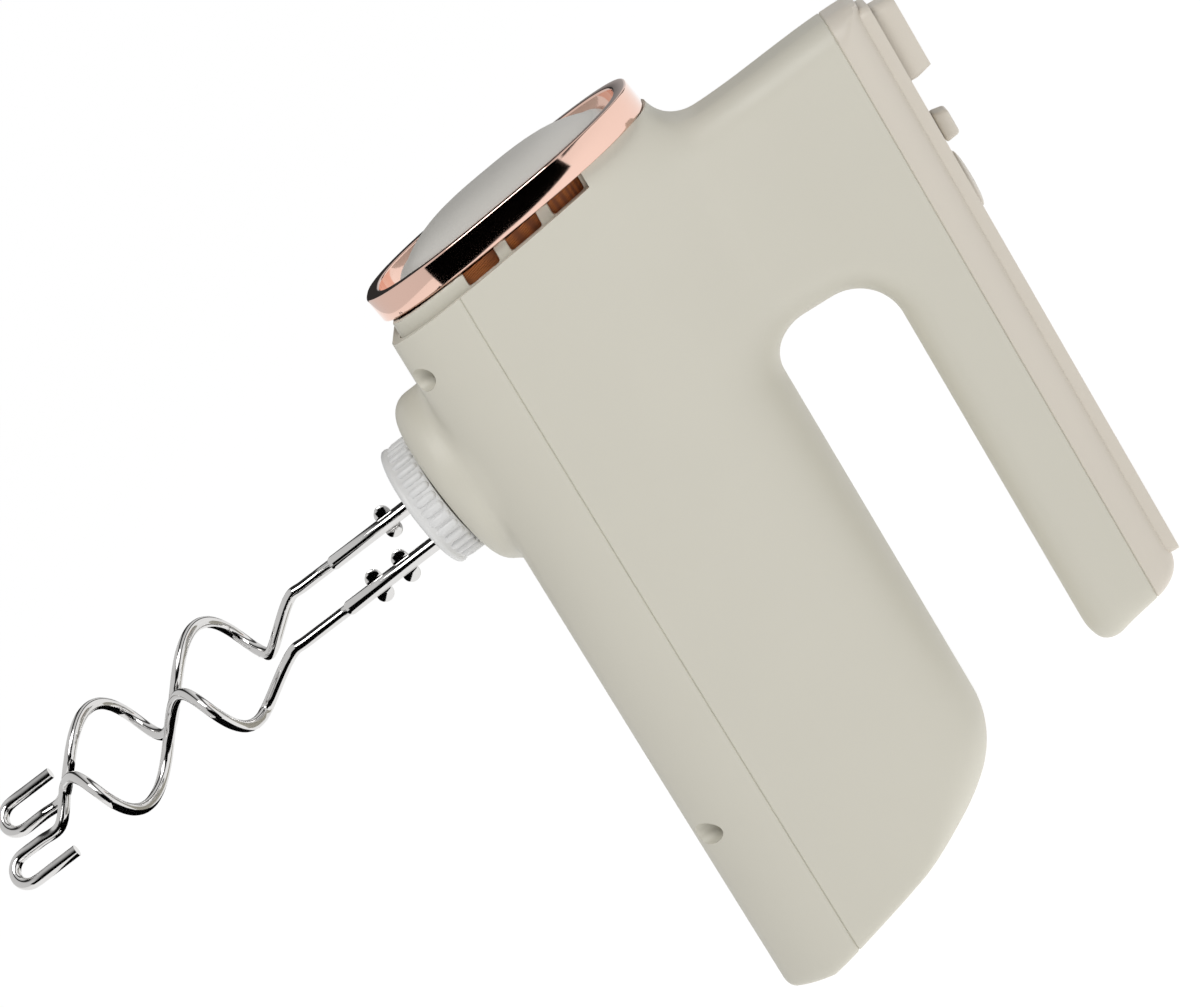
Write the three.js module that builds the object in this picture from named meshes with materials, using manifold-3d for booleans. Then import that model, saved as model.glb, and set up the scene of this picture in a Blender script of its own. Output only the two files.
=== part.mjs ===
// Hand mixer with two wire dough hooks, in millimetres.
//
// The mixer is drawn in its working attitude: X runs from the nose to the tail,
// Z from the casing up to the handle, and Y across. The drive train (motor, worm,
// spindles and hooks) leans a little and is drawn in a group of its own. At the end
// the whole mixer is turned to stand on its heel, with the heel face on Z = 0.
import * as THREE from 'three';
import { mergeVertices } from 'three/addons/utils/BufferGeometryUtils.js';
import Module from 'manifold-3d';

const wasm = await Module();
wasm.setup();

const gap = 0.3;              // clearance between pieces that meet
const wall = 2.4;             // moulded wall thickness
const deg = Math.PI / 180;

// Casing
const casingLength = 194.3;   // seam, from the front shoulder to the heel plane
const casingTop = 57;         // ridge above the seam
const noseRise = 3;           // extra ridge height at the nose
const casingDepth = 21.3;     // underside below the seam
const casingHalfWidth = 34;   // widest, at the seam
const tailTaper = 4.5;        // half-width lost at the tail
const sectionPower = 2.6;     // squareness of the casing's upper section
const tailRound = 16;         // rounding from the ridge into the heel face
const tailSetback = 2.9;      // heel face runs down to this far past the seam's end
const heelLean = 18.5 * deg;  // heel plane, from upright
const faceLean = 9 * deg;     // nose face, from upright
const bottomProfile = [[1, 0], [0.96, 0.3], [0.88, 0.62], [0.76, 0.9], [0.66, 1]];

// Nose ring, its panel and the recessed grille behind it
const ringHalfWidth = 32;
const ringHalfHeight = 41.5;
const ringDepth = 7;
const ringBand = 3.2;         // thickness of the ring seen from the front
const ringCentreZ = 19.5;
const recessWidth = 4.2;      // grille strip between the ring and the shoulder
const recessTopZ = 40;        // above this the shoulder closes up to the ring
const ventCount = 3;
const ventPitch = 13;
const ventLength = 9.4;
const ventFirstZ = 8;

// Handle and neck
const handleTop = 117.2;
const handleUnder = 89.6;
const handleHalfWidth = 15.3;
const handleSeamZ = 108.6;
const handleRound = 8;
const neckFrontX = -5.6;      // front of the neck above the nose
const handleFrontX = -10;     // front of the handle, at its top
const gapFrontX = 50.3;       // front end of the finger gap
const neckFootHalfWidth = 24;
const neckFootZ = 42;         // the flare into the casing starts here, inside it

// Controls on the handle
const panelHalfWidth = 11;
const panelThickness = 2;
const panelFrontX = -4.5;
const panelTailSetback = 4;
const ejector = { x: 4.3, length: 20.4, halfWidth: 7.6, rise: 6.2, stroke: 6 };
const spring = { radius: 5.2, wire: 0.5, turns: 6 };   // under the ejector
const slider = { x: 28.6, length: 8, halfWidth: 5, rise: 4, stroke: 8 };
const turbo = { x: 43.5, radius: 7.7, rise: 1.6, stroke: 1.8 };
const stemHalf = 2.2;         // stems of the slider and of the turbo button
const speedSwitch = { ahead: 14, behind: 5, halfWidth: 7 };
const board = { fromX: 62, length: 56, halfWidth: 10, thickness: 1.6 };
const boardTopZ = 99.6;

// Drive train, in the leaning drive group
const driveX = 43.25;         // where the drive axis meets the underside
const driveLean = 7 * deg;
const bossRadius = 25.3;
const bossDrop = 9;           // boss face below the underside
const bossRound = 6;
const collarHalfX = 16.9;
const collarHalfY = 22;
const collarHeight = 8.3;
const ribCount = 32;
const ribHeight = 0.6;
const spindleHalfSpread = 11; // spindles, across
const spindleX = { left: 7.4, right: -0.4 };   // spindles, along
const sleeveRadius = 3.7;
const sleeveBore = 2.65;
const sleeveRoom = 0.4;       // around the sleeves, where they pass the collar
const pinRadius = 1.65;       // ejector pins; pressed straight, they cross the leaning sleeves a little
const sleeveTop = 30;
const bushWall = 1.6;
const bushFrom = 4;           // bushes, above the underside
const bushHeight = 10;
const gearCasting = { fromX: -13, toX: 26, halfWidth: 22, low: 5.5, thickness: 7,
  postHalfWidth: 12, postThickness: 5.5 };
const wheelTeeth = 20;
const wheelModule = 0.7;
const wheelHeight = 7;
const wormZ = 24;             // worm axis above the underside
const wormRadius = spindleHalfSpread - wheelTeeth * wheelModule / 2 - wheelModule;

// Hooks, all measured down from one plane
const hookBase = -21.1;       // that plane, in the drive group
const wireRadius = 1.55;
const shankRadius = 1.95;
const shankEnd = 25;          // thicker shank
const hookTop = 33;           // shank inside the spindle, above the plane
const helixRadius = 8.6;
const helixPitch = 35;
const helixSkew = 2.9;
const hookEnd = 134.3;        // axis of the lowest bend
const lugAt = 7;
const lugStep = 8.3;
const lugReach = 4.6;

// Motor, along the drive group's own X
const motorX = 59;
const stator = { length: 26, halfWidth: 26, halfHeight: 22, bore: 15.6,
  windowAcross: [7.8, 13.4], windowHigh: [10, 17.8] };
const coil = { near: 13.4, height: 4, overhang: 5, halfWidth: 13, coreHalfWidth: 8.4 };
const boltAcross = 20.5;      // motor bolts, either side of the worm's axis
const boltRadius = 1.5;
const winding = { slots: 12, slotDepth: 3.2, headRadius: 10.6, headLength: 6 };
const armatureRadius = 14.4;
const shaftRadius = 2.2;
const fan = { x: 34.5, radius: 20, width: 8, blades: 9 };
const commutator = { x: 85, radius: 7.5, length: 10 };
const bearing = { front: 23, rear: 97, width: 6, radius: 7 };
const brush = { width: 5, height: 6, length: 9 };

const matte = (color, roughness = 0.55) => new THREE.MeshStandardMaterial({ color, roughness, metalness: 0 });
const metal = (color, roughness = 0.25) => new THREE.MeshStandardMaterial({ color, roughness, metalness: 1 });
const cream = 0xe6e3d6;
const warmCream = 0xe9e0d0;
const steel = 0xc9ccd0;
const copper = 0xb06a3a;

const mixer = new THREE.Group();       // working attitude
const drive = new THREE.Group();       // leaning drive train
drive.position.set(driveX, 0, -casingDepth);
drive.rotation.y = -driveLean;
mixer.add(drive);

function solidOf(geometry) {
  const bare = geometry.clone();
  bare.deleteAttribute('normal');
  bare.deleteAttribute('uv');
  const merged = mergeVertices(bare, 1e-4);
  const vertProperties = new Float32Array(merged.attributes.position.array);
  const corners = merged.index.array;
  const kept = [];
  for (let i = 0; i < corners.length; i += 3) {
    const [a, b, c] = corners.slice(i, i + 3);
    if (a !== b && b !== c && c !== a) kept.push(a, b, c);
  }
  const triVerts = new Uint32Array(kept);
  return new wasm.Manifold(new wasm.Mesh({ numProp: 3, vertProperties, triVerts }));
}

function geometryOf(solid) {
  const mesh = solid.getMesh();
  const geometry = new THREE.BufferGeometry();
  geometry.setAttribute('position', new THREE.BufferAttribute(Float32Array.from(mesh.vertProperties), 3));
  geometry.setIndex(Array.from(mesh.triVerts));
  return geometry;
}

const joined = (...solids) => solids.reduce((all, one) => all.add(one));
const cutBy = (solid, ...tools) => tools.reduce((left, tool) => left.subtract(tool), solid);

// A named sub-part, from a geometry or from a solid.
function addPart(name, shape, material, parent = mixer) {
  const mesh = new THREE.Mesh(shape.isBufferGeometry ? shape : geometryOf(shape), material);
  mesh.name = name;
  parent.add(mesh);
  return mesh;
}

const box = (x0, x1, y0, y1, z0, z1) =>
  solidOf(new THREE.BoxGeometry(x1 - x0, y1 - y0, z1 - z0)
    .translate((x0 + x1) / 2, (y0 + y1) / 2, (z0 + z1) / 2));

// Cylinder along X, Y or Z, from one end to the other.
function rod(axis, from, to, radius, across = [0, 0], sides = 16, radius2 = radius) {
  const geometry = new THREE.CylinderGeometry(radius2, radius, to - from, sides);
  if (axis === 'x') geometry.rotateZ(-Math.PI / 2).translate((from + to) / 2, across[0], across[1]);
  if (axis === 'y') geometry.translate(across[0], (from + to) / 2, across[1]);
  if (axis === 'z') geometry.rotateX(Math.PI / 2).translate(across[0], across[1], (from + to) / 2);
  return solidOf(geometry);
}

// Solid skinned over closed rings of points that all hold the same count.
function loft(rings) {
  const count = rings[0].length;
  const points = rings.flat();
  const index = [];
  for (let r = 0; r < rings.length - 1; r += 1) {
    for (let i = 0; i < count; i += 1) {
      const a = r * count + i;
      const b = r * count + (i + 1) % count;
      index.push(a, b, b + count, a, b + count, a + count);
    }
  }
  for (const [start, flip] of [[0, true], [(rings.length - 1) * count, false]]) {
    const centre = points.length;
    const middle = new THREE.Vector3();
    for (let i = 0; i < count; i += 1) middle.addScaledVector(points[start + i], 1 / count);
    points.push(middle);
    for (let i = 0; i < count; i += 1) {
      const a = start + i;
      const b = start + (i + 1) % count;
      index.push(centre, ...(flip ? [b, a] : [a, b]));
    }
  }
  let volume = 0;
  for (let i = 0; i < index.length; i += 3) {
    const [a, b, c] = [points[index[i]], points[index[i + 1]], points[index[i + 2]]];
    volume += a.dot(b.clone().cross(c));
  }
  if (volume < 0) index.reverse();
  const geometry = new THREE.BufferGeometry().setFromPoints(points);
  geometry.setIndex(index);
  return solidOf(geometry);
}

const signedPower = (value, power) => Math.sign(value) * Math.abs(value) ** power;

// Outline through corners [x, z, radius], each corner rounded by its radius.
function roundedShape(corners) {
  const shape = new THREE.Shape();
  corners.forEach(([x, z, radius], i) => {
    const here = new THREE.Vector2(x, z);
    const [px, pz] = corners[(i + corners.length - 1) % corners.length];
    const [nx, nz] = corners[(i + 1) % corners.length];
    const before = new THREE.Vector2(px, pz).sub(here).normalize();
    const after = new THREE.Vector2(nx, nz).sub(here).normalize();
    const halfAngle = Math.acos(THREE.MathUtils.clamp(before.dot(after), -1, 1)) / 2;
    const cut = radius / Math.tan(halfAngle);
    const start = here.clone().addScaledVector(before, cut);
    const end = here.clone().addScaledVector(after, cut);
    if (i === 0) shape.moveTo(start.x, start.y);
    else shape.lineTo(start.x, start.y);
    if (radius > 0) shape.quadraticCurveTo(x, z, end.x, end.y);
  });
  shape.closePath();
  return shape;
}

// Side outline (X, Z) extruded across, centred on Y = 0.
function acrossSolid(shape, halfWidth, steps = 5) {
  const geometry = new THREE.ExtrudeGeometry(shape, {
    depth: 2 * halfWidth, bevelEnabled: false, curveSegments: steps });
  geometry.translate(0, 0, -halfWidth).rotateX(Math.PI / 2);
  return solidOf(geometry);
}

// ---------------------------------------------------------------- casing form

const heelX = (z) => casingLength - Math.tan(heelLean) * z;
const shoulderX = (z) => -Math.tan(faceLean) * z;
const ringBackX = (z) => shoulderX(z) - recessWidth;
const tailLowX = casingLength + tailSetback;
const halfWidthAt = (x) => casingHalfWidth - tailTaper * ((x - 60) / 135) ** 2;
const topAt = (x) => casingTop + noseRise * THREE.MathUtils.clamp((40 - x) / 50, 0, 1.1) ** 2;

// Closed section of the casing at one X, drawn inside its outer skin by an inset.
function casingLoop(x, inset) {
  const width = halfWidthAt(x) - inset;
  const top = topAt(x) - inset;
  const depth = casingDepth - inset;
  const upper = 16;
  const loop = [];
  for (let i = 0; i <= upper; i += 1) {
    const angle = Math.PI * i / upper;
    const y = width * signedPower(Math.cos(angle), 2 / sectionPower);
    loop.push(new THREE.Vector3(x, y, top * signedPower(Math.sin(angle), 2 / sectionPower)));
  }
  const lower = bottomProfile.slice(1);
  for (const [across, down] of lower) loop.push(new THREE.Vector3(x, -width * across, -depth * down));
  for (const [across, down] of lower.reverse()) loop.push(new THREE.Vector3(x, width * across, -depth * down));
  return loop;
}

function casingForm(inset, from = -24, to = casingLength + 12) {
  const stations = 9;
  const rings = [];
  for (let i = 0; i <= stations; i += 1) rings.push(casingLoop(from + (to - from) * i / stations, inset));
  return loft(rings);
}

// Everything between the front of the casing and the heel, seen from the side.
function casingSide(inset) {
  const front = inset > 0 ? -20 : 0;   // the shell is open towards the ring
  const far = 90;
  const low = -casingDepth - 10;
  const corners = [
    [shoulderX(low) + front, low, 0],
    [tailLowX - inset, low, 0],
    [tailLowX - inset, (casingLength - tailLowX) / Math.tan(heelLean), 0],
    [heelX(casingTop) - inset, casingTop - inset, tailRound],
    [20, casingTop - inset, 0],
    [20, far, 0],
    [ringBackX(far) + gap + front, far, 0],
    [ringBackX(recessTopZ) + gap + front, recessTopZ, 0],
    [shoulderX(recessTopZ) + front, recessTopZ, 0],
  ];
  return acrossSolid(roundedShape(corners), casingHalfWidth + 10);
}

// Handle and neck, seen from the side.
function handleSide(inset) {
  const underEndX = heelX(handleUnder) - 2 - inset;
  return acrossSolid(roundedShape([
    [neckFrontX + inset, 50, 0],
    [gapFrontX + 9 - inset, 50, 0],
    [gapFrontX + 8 - inset, casingTop, 0],
    [gapFrontX - 1.5 - inset, handleUnder - 2 + inset, 9],
    [gapFrontX + 14 - inset, handleUnder + inset, 12],
    [underEndX, handleUnder + inset, 7 - inset],
    [heelX(handleTop) - inset, handleTop - inset, 5 - inset],
    [handleFrontX + inset, handleTop - inset, 5 - inset],
    [neckFrontX + inset, 76, 8],
  ]), handleHalfWidth + 5);
}

// Rounded bar along the handle and rounded column down the neck.
function handleSections(inset) {
  const w = handleHalfWidth - inset;
  const bar = new THREE.ExtrudeGeometry(roundedShape([
    [handleUnder + inset, -w, handleRound - inset], [handleTop - inset, -w, handleRound - inset],
    [handleTop - inset, w, handleRound - inset], [handleUnder + inset, w, handleRound - inset],
  ]), { depth: 260, bevelEnabled: false, curveSegments: 5 });
  bar.rotateY(-Math.PI / 2).translate(220, 0, 0);
  const column = new THREE.ExtrudeGeometry(roundedShape([
    [handleFrontX - 5 + inset, -w, handleRound], [gapFrontX + 12, -w, handleRound],
    [gapFrontX + 12, w, handleRound], [handleFrontX - 5 + inset, w, handleRound],
  ]), { depth: handleUnder - 30, bevelEnabled: false, curveSegments: 5 });
  column.translate(0, 0, 40);
  return joined(solidOf(bar), solidOf(column));
}

// The neck widens into the casing's shoulders.
function neckFlare(inset) {
  const rings = [];
  const levels = 6;
  for (let i = 0; i <= levels; i += 1) {
    const t = i / levels;
    const z = neckFootZ + (handleUnder - neckFootZ) * t;
    const half = handleHalfWidth + (neckFootHalfWidth - handleHalfWidth) * (1 - t) ** 2 - inset;
    const front = neckFrontX + inset + 0.4;
    const back = gapFrontX + 8 - 8 * t - inset - 1;
    const ring = [];
    for (let k = 0; k < 20; k += 1) {
      const angle = 2 * Math.PI * k / 20;
      const x = (front + back) / 2 + (back - front) / 2 * signedPower(Math.cos(angle), 0.6);
      ring.push(new THREE.Vector3(x, half * signedPower(Math.sin(angle), 0.8), z));
    }
    rings.push(ring);
  }
  return loft(rings);
}

function casingSolid(inset) {
  const grip = handleSide(inset).intersect(handleSections(inset));
  const body = casingForm(inset).intersect(casingSide(inset));
  return joined(body, grip, neckFlare(inset));
}

const reach = 400;
const above = (z) => box(-reach, reach, -reach, reach, z, reach);
const below = (z) => box(-reach, reach, -reach, reach, -reach, z);

// Slab between two planes that lean with the nose face.
function noseSlab(fromX, toX) {
  const low = -60;
  const high = 120;
  return acrossSolid(roundedShape([
    [fromX + shoulderX(low), low, 0], [toX + shoulderX(low), low, 0],
    [toX + shoulderX(high), high, 0], [fromX + shoulderX(high), high, 0],
  ]), 80);
}

// Turns a solid from the drive group's frame into the mixer's.
function fromDrive(solid) {
  drive.updateMatrix();
  return solidOf(geometryOf(solid).applyMatrix4(drive.matrix));
}

// ---------------------------------------------------------------- shells

const outerForm = casingSolid(0);
const innerForm = casingSolid(wall);

const screwRadius = 1.5;
const screwHeadRadius = 2.6;
const counterbore = 3.1;
const screwX = [13.8, 148.6];
const screwAcross = 25.5;
const screwSeatZ = -9;
const postRadius = 4.9;
const screwPlaces = screwX.flatMap((x) => [[x, -screwAcross], [x, screwAcross]]);

const yokeRodX = 4;           // ejector rod, along
const yokeHalf = 2.2;
const springShelfZ = 91;
const bossTop = 4;
const bossForm = (inset, from, to) => {
  const round = bossRound;
  const low = -bossDrop + inset;
  const radius = bossRadius - inset;
  const profile = [new THREE.Vector2(0, low), new THREE.Vector2(radius - round, low)];
  for (let i = 1; i <= 4; i += 1) {
    const angle = Math.PI / 2 * i / 4;
    profile.push(new THREE.Vector2(radius - round + round * Math.sin(angle),
      low + round * (1 - Math.cos(angle))));
  }
  profile.push(new THREE.Vector2(radius, to), new THREE.Vector2(0, to));
  return solidOf(new THREE.LatheGeometry(profile, 32).rotateX(Math.PI / 2));
};

function spindlePlaces() {
  return [['left', spindleX.left, -spindleHalfSpread], ['right', spindleX.right, spindleHalfSpread]];
}

function mainHousing() {
  const posts = screwPlaces.map(([x, y]) => joined(
    rod('z', gap, 16, postRadius, [x, y]),
    box(x - 1.2, x + 1.2, Math.min(y, Math.sign(y) * (halfWidthAt(x) - 1)),
      Math.max(y, Math.sign(y) * (halfWidthAt(x) - 1)), gap, 15)));
  const bores = screwPlaces.map(([x, y]) => rod('z', -1, 13, screwRadius + 0.1, [x, y]));
  const shell = outerForm.subtract(innerForm)
    .intersect(above(gap / 2)).intersect(below(handleSeamZ - gap / 2));
  const shelf = box(neckFrontX + 1, yokeRodX + 10, 1 - handleHalfWidth, handleHalfWidth - 1,
    springShelfZ - 2, springShelfZ).intersect(outerForm);
  const guide = rod('z', springShelfZ - 3, springShelfZ + 1, yokeHalf * 1.7, [yokeRodX, 0]);
  return cutBy(joined(shell, shelf, ...posts.map((post) => post.intersect(outerForm))), guide, ...bores);
}

function bottomCover() {
  const boss = fromDrive(bossForm(0, 0, bossTop));
  const bossHollow = fromDrive(bossForm(wall, 0, bossTop + 2));
  const holes = spindlePlaces().map(([, x, y]) =>
    fromDrive(rod('z', -bossDrop - 1, bossTop, sleeveRadius + bushWall + gap * 2, [x, y])));
  const posts = screwPlaces.map(([x, y]) => rod('z', -casingDepth, -gap, postRadius, [x, y]));
  const pockets = screwPlaces.flatMap(([x, y]) => [
    rod('z', -casingDepth - 5, screwSeatZ, counterbore, [x, y]),
    rod('z', -casingDepth, 1, screwRadius + 0.3, [x, y])]);
  const gland = rod('x', tailLowX - 12, tailLowX + 5, glandRadius + gap, [0, glandZ]);
  const skin = outerForm.intersect(below(-gap / 2));
  const hollow = innerForm;
  const shell = joined(skin, boss.intersect(below(-gap / 2))).subtract(joined(hollow, bossHollow));
  return cutBy(joined(shell, ...posts.map((post) => post.intersect(skin))), ...holes, ...pockets, gland);
}

const glandZ = -11.5;
const glandRadius = 4.2;

function handleCover() {
  const shell = outerForm.subtract(innerForm).intersect(above(handleSeamZ + gap / 2));
  const openings = [
    box(ejector.x - ejector.length / 2 - 0.5, ejector.x + ejector.length / 2 + 0.5,
      -ejector.halfWidth - 0.5, ejector.halfWidth + 0.5, handleTop - 6, handleTop + 6),
    box(slider.x - slider.stroke - stemHalf - 0.5, slider.x + stemHalf + 0.5,
      -stemHalf - 0.5, stemHalf + 0.5, handleTop - 6, handleTop + 6),
    rod('z', handleTop - 6, handleTop + 6, stemHalf + 0.6, [turbo.x, 0]),
  ];
  return cutBy(shell, ...openings);
}

const panelBottomZ = handleTop + gap;
const panelTopZ = panelBottomZ + panelThickness;
const panelTailX = heelX(panelTopZ) - panelTailSetback;

// Flat plate let in along the top of the handle, with an opening for each control.
function switchPanel() {
  const outline = new THREE.Shape();
  const [x0, x1, w, r] = [panelFrontX - 3, panelTailX, panelHalfWidth, 3];
  outline.moveTo(x0 + r, -w).lineTo(x1 - r, -w).quadraticCurveTo(x1, -w, x1, r - w);
  outline.lineTo(x1, w - r).quadraticCurveTo(x1, w, x1 - r, w).lineTo(x0 + r, w);
  outline.quadraticCurveTo(x0, w, x0, w - r).lineTo(x0, r - w).quadraticCurveTo(x0, -w, x0 + r, -w);
  const plate = solidOf(new THREE.ExtrudeGeometry(outline, {
    depth: panelThickness, bevelEnabled: false, curveSegments: 4 }).translate(0, 0, panelBottomZ));
  const openings = [
    box(ejector.x - ejector.length / 2 - 0.4, ejector.x + ejector.length / 2 + 0.4,
      -ejector.halfWidth - 0.4, ejector.halfWidth + 0.4, handleTop - 6, handleTop + 6),
    box(slider.x - slider.stroke - stemHalf - 0.4, slider.x + stemHalf + 0.4,
      -stemHalf - 0.4, stemHalf + 0.4, handleTop - 6, handleTop + 6),
    rod('z', handleTop - 6, handleTop + 6, turbo.radius + 0.4, [turbo.x, 0], 32),
  ];
  return cutBy(plate, ...openings);
}

// ---------------------------------------------------------------- nose

// Ring outline in the plane of the nose face, as a squared ellipse.
function ringShape(inset, Maker = THREE.Shape) {
  const shape = new Maker();
  const count = 40;
  for (let i = 0; i < count; i += 1) {
    const angle = 2 * Math.PI * i / count;
    const across = (ringHalfWidth - inset) * signedPower(Math.cos(angle), 2 / 2.7);
    const up = (ringHalfHeight - inset) * signedPower(Math.sin(angle), 2 / 2.7);
    if (i === 0) shape.moveTo(across, up);
    else shape.lineTo(across, up);
  }
  shape.closePath();
  return shape;
}

// Extrudes an outline forwards from the back plane of the nose ring.
function noseExtrusion(shape, from, to) {
  const geometry = new THREE.ExtrudeGeometry(shape, { depth: to - from, bevelEnabled: false });
  geometry.translate(0, 0, from);
  const turn = new THREE.Matrix4().makeBasis(
    new THREE.Vector3(0, -1, 0),
    new THREE.Vector3(-Math.sin(faceLean), 0, Math.cos(faceLean)),
    new THREE.Vector3(-Math.cos(faceLean), 0, -Math.sin(faceLean)));
  turn.setPosition(ringBackX(ringCentreZ), 0, ringCentreZ);
  return solidOf(geometry.applyMatrix4(turn));
}

function noseRing() {
  const web = 1.6;
  const hollow = noseExtrusion(ringShape(ringBand), web, ringDepth + 1);
  const throat = noseExtrusion(ringShape(ringBand + 6), -1, web + 1);
  return cutBy(noseExtrusion(ringShape(0), 0, ringDepth), hollow, throat);
}

// Domed panel that fills the ring except for a crescent at each end.
function nosePanel() {
  const from = 1.6 + gap;
  const steps = 4;
  const rings = [];
  for (let i = 0; i <= steps; i += 1) {
    const t = i / steps;
    const shrink = 1 - 0.16 * t ** 2.5;
    const lift = from + (ringDepth - 1.2 - from) * Math.sin(t * Math.PI / 2);
    rings.push({ shrink, lift });
  }
  const turn = new THREE.Matrix4().makeBasis(
    new THREE.Vector3(0, -1, 0),
    new THREE.Vector3(-Math.sin(faceLean), 0, Math.cos(faceLean)),
    new THREE.Vector3(-Math.cos(faceLean), 0, -Math.sin(faceLean)));
  turn.setPosition(ringBackX(ringCentreZ), 0, ringCentreZ);
  const outline = ringShape(ringBand + gap).getPoints(1);
  outline.pop();
  return loft(rings.map(({ shrink, lift }) => outline.map((p) =>
    new THREE.Vector3(p.x * shrink, p.y * shrink * 0.985, lift).applyMatrix4(turn))));
}

function grilleForm(inset, fromX, toX) {
  return casingForm(inset).intersect(noseSlab(fromX, toX)).intersect(below(casingTop - 4));
}

// Recessed strip between the ring and the casing, with vents along both sides.
function ventGrille() {
  const front = -recessWidth + gap;
  const strip = grilleForm(wall + gap, front, 6).subtract(grilleForm(wall + gap + 2.2, front - 1, 7));
  const vents = [];
  for (let i = 0; i < ventCount; i += 1) {
    const z = ventFirstZ + ventPitch * i;
    const x = shoulderX(z) - recessWidth + gap;
    vents.push(box(x + 0.5, x + recessWidth - 0.3, -60, 60, z - ventLength / 2, z + ventLength / 2));
  }
  return cutBy(strip, ...vents);
}

// Dark screen inside the grille.
function ventScreen() {
  const inset = wall + gap + 2.2 + gap;
  const front = -recessWidth + gap + 0.6;
  return grilleForm(inset, front, 5).subtract(grilleForm(inset + 1.2, front - 1, 6));
}

// ---------------------------------------------------------------- controls

function ejectorButton() {
  const outline = new THREE.Shape();
  const [l, w, r] = [ejector.length / 2, ejector.halfWidth, 5];
  outline.moveTo(-l + r, -w).lineTo(l - 2, -w).quadraticCurveTo(l, -w, l, 2 - w);
  outline.lineTo(l, w - 2).quadraticCurveTo(l, w, l - 2, w).lineTo(r - l, w);
  outline.quadraticCurveTo(-l, w, -l, w - r).lineTo(-l, r - w).quadraticCurveTo(-l, -w, r - l, -w);
  const height = ejector.rise + panelTopZ - handleTop + 4;
  const cap = new THREE.ExtrudeGeometry(outline, {
    depth: height - 1.5, bevelThickness: 1.5, bevelSize: 1.5, bevelOffset: -1.5, bevelSegments: 3,
    curveSegments: 4 });
  cap.translate(ejector.x, 0, handleTop - 4);
  const body = solidOf(cap);
  return body.intersect(above(handleTop - 4));
}

const yokeTopZ = handleTop - 4 - 1.5 - gap;

// Rod down the neck, a foot over the gears and a pin into each spindle.
function ejectorYoke() {
  const footZ = 17;
  const pins = spindlePlaces().map(([, x, y]) => {
    const solid = fromDrive(rod('z', sleeveTop - 11, sleeveTop + 12, pinRadius, [x, y], 16));
    return solid;
  });
  const spread = fromDrive(box(-3.4, 11.4, -spindleHalfSpread - 3, spindleHalfSpread + 3,
    sleeveTop + 8.2, sleeveTop + 12));
  const arm = acrossSolid(roundedShape([
    [yokeRodX - yokeHalf, yokeTopZ, 0], [yokeRodX + yokeHalf, yokeTopZ, 0],
    [yokeRodX + yokeHalf, 50, 0], [driveX + 5, footZ + 7, 0], [driveX + 5, footZ + 2.4, 0],
    [yokeRodX - yokeHalf, 45, 0]]), yokeHalf);
  return joined(arm, spread, ...pins);
}

function coilSpring(x, y, z0, z1, radius, wire, turns) {
  const points = [];
  const perTurn = 8;
  for (let i = 0; i <= turns * perTurn; i += 1) {
    const angle = 2 * Math.PI * i / perTurn;
    points.push(new THREE.Vector3(x + radius * Math.cos(angle), y + radius * Math.sin(angle),
      z0 + wire + (z1 - z0 - 2 * wire) * i / (turns * perTurn)));
  }
  return sweep(points, wire, 4);
}

// Round wire along a run of points.
function sweep(points, radius, sides = 8) {
  const up = new THREE.Vector3(0, 1, 0);
  const rings = points.map((point, i) => {
    const ahead = points[Math.min(i + 1, points.length - 1)].clone()
      .sub(points[Math.max(i - 1, 0)]).normalize();
    const side = new THREE.Vector3().crossVectors(ahead, up).normalize();
    up.crossVectors(side, ahead).normalize();
    const normal = up.clone();
    return Array.from({ length: sides }, (_, k) => {
      const angle = 2 * Math.PI * k / sides;
      return point.clone().addScaledVector(side, radius * Math.cos(angle))
        .addScaledVector(normal, radius * Math.sin(angle));
    });
  });
  return loft(rings);
}

function speedKnob() {
  const half = slider.length / 2;
  const seat = panelTopZ + gap;
  const knob = acrossSolid(roundedShape([
    [slider.x - half, seat, 0], [slider.x + half, seat, 0],
    [slider.x + half - 0.8, seat + slider.rise, 1.2], [slider.x - half + 0.8, seat + slider.rise, 1.2],
  ]), slider.halfWidth, 3);
  const stem = box(slider.x - stemHalf, slider.x + stemHalf, -stemHalf, stemHalf,
    handleTop - 3.6, seat + 2);
  return joined(knob, stem);
}

function turboButton() {
  const profile = [new THREE.Vector2(0, handleTop + turbo.stroke + 0.2)];
  const low = handleTop + turbo.stroke + 0.2;
  profile.push(new THREE.Vector2(turbo.radius, low), new THREE.Vector2(turbo.radius, panelTopZ + 0.5));
  for (let i = 1; i <= 4; i += 1) {
    const t = i / 4;
    profile.push(new THREE.Vector2(turbo.radius * Math.cos(t * Math.PI / 2),
      panelTopZ + 0.5 + (turbo.rise - 0.5) * Math.sin(t * Math.PI / 2)));
  }
  profile[profile.length - 1].x = 0;
  const dome = new THREE.LatheGeometry(profile, 32).rotateX(Math.PI / 2).translate(turbo.x, 0, 0);
  return joined(solidOf(dome), rod('z', handleTop - 3.6, low + 0.5, stemHalf, [turbo.x, 0]));
}

// ---------------------------------------------------------------- drive train

const gearTop = wormZ + wheelHeight / 2;

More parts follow.
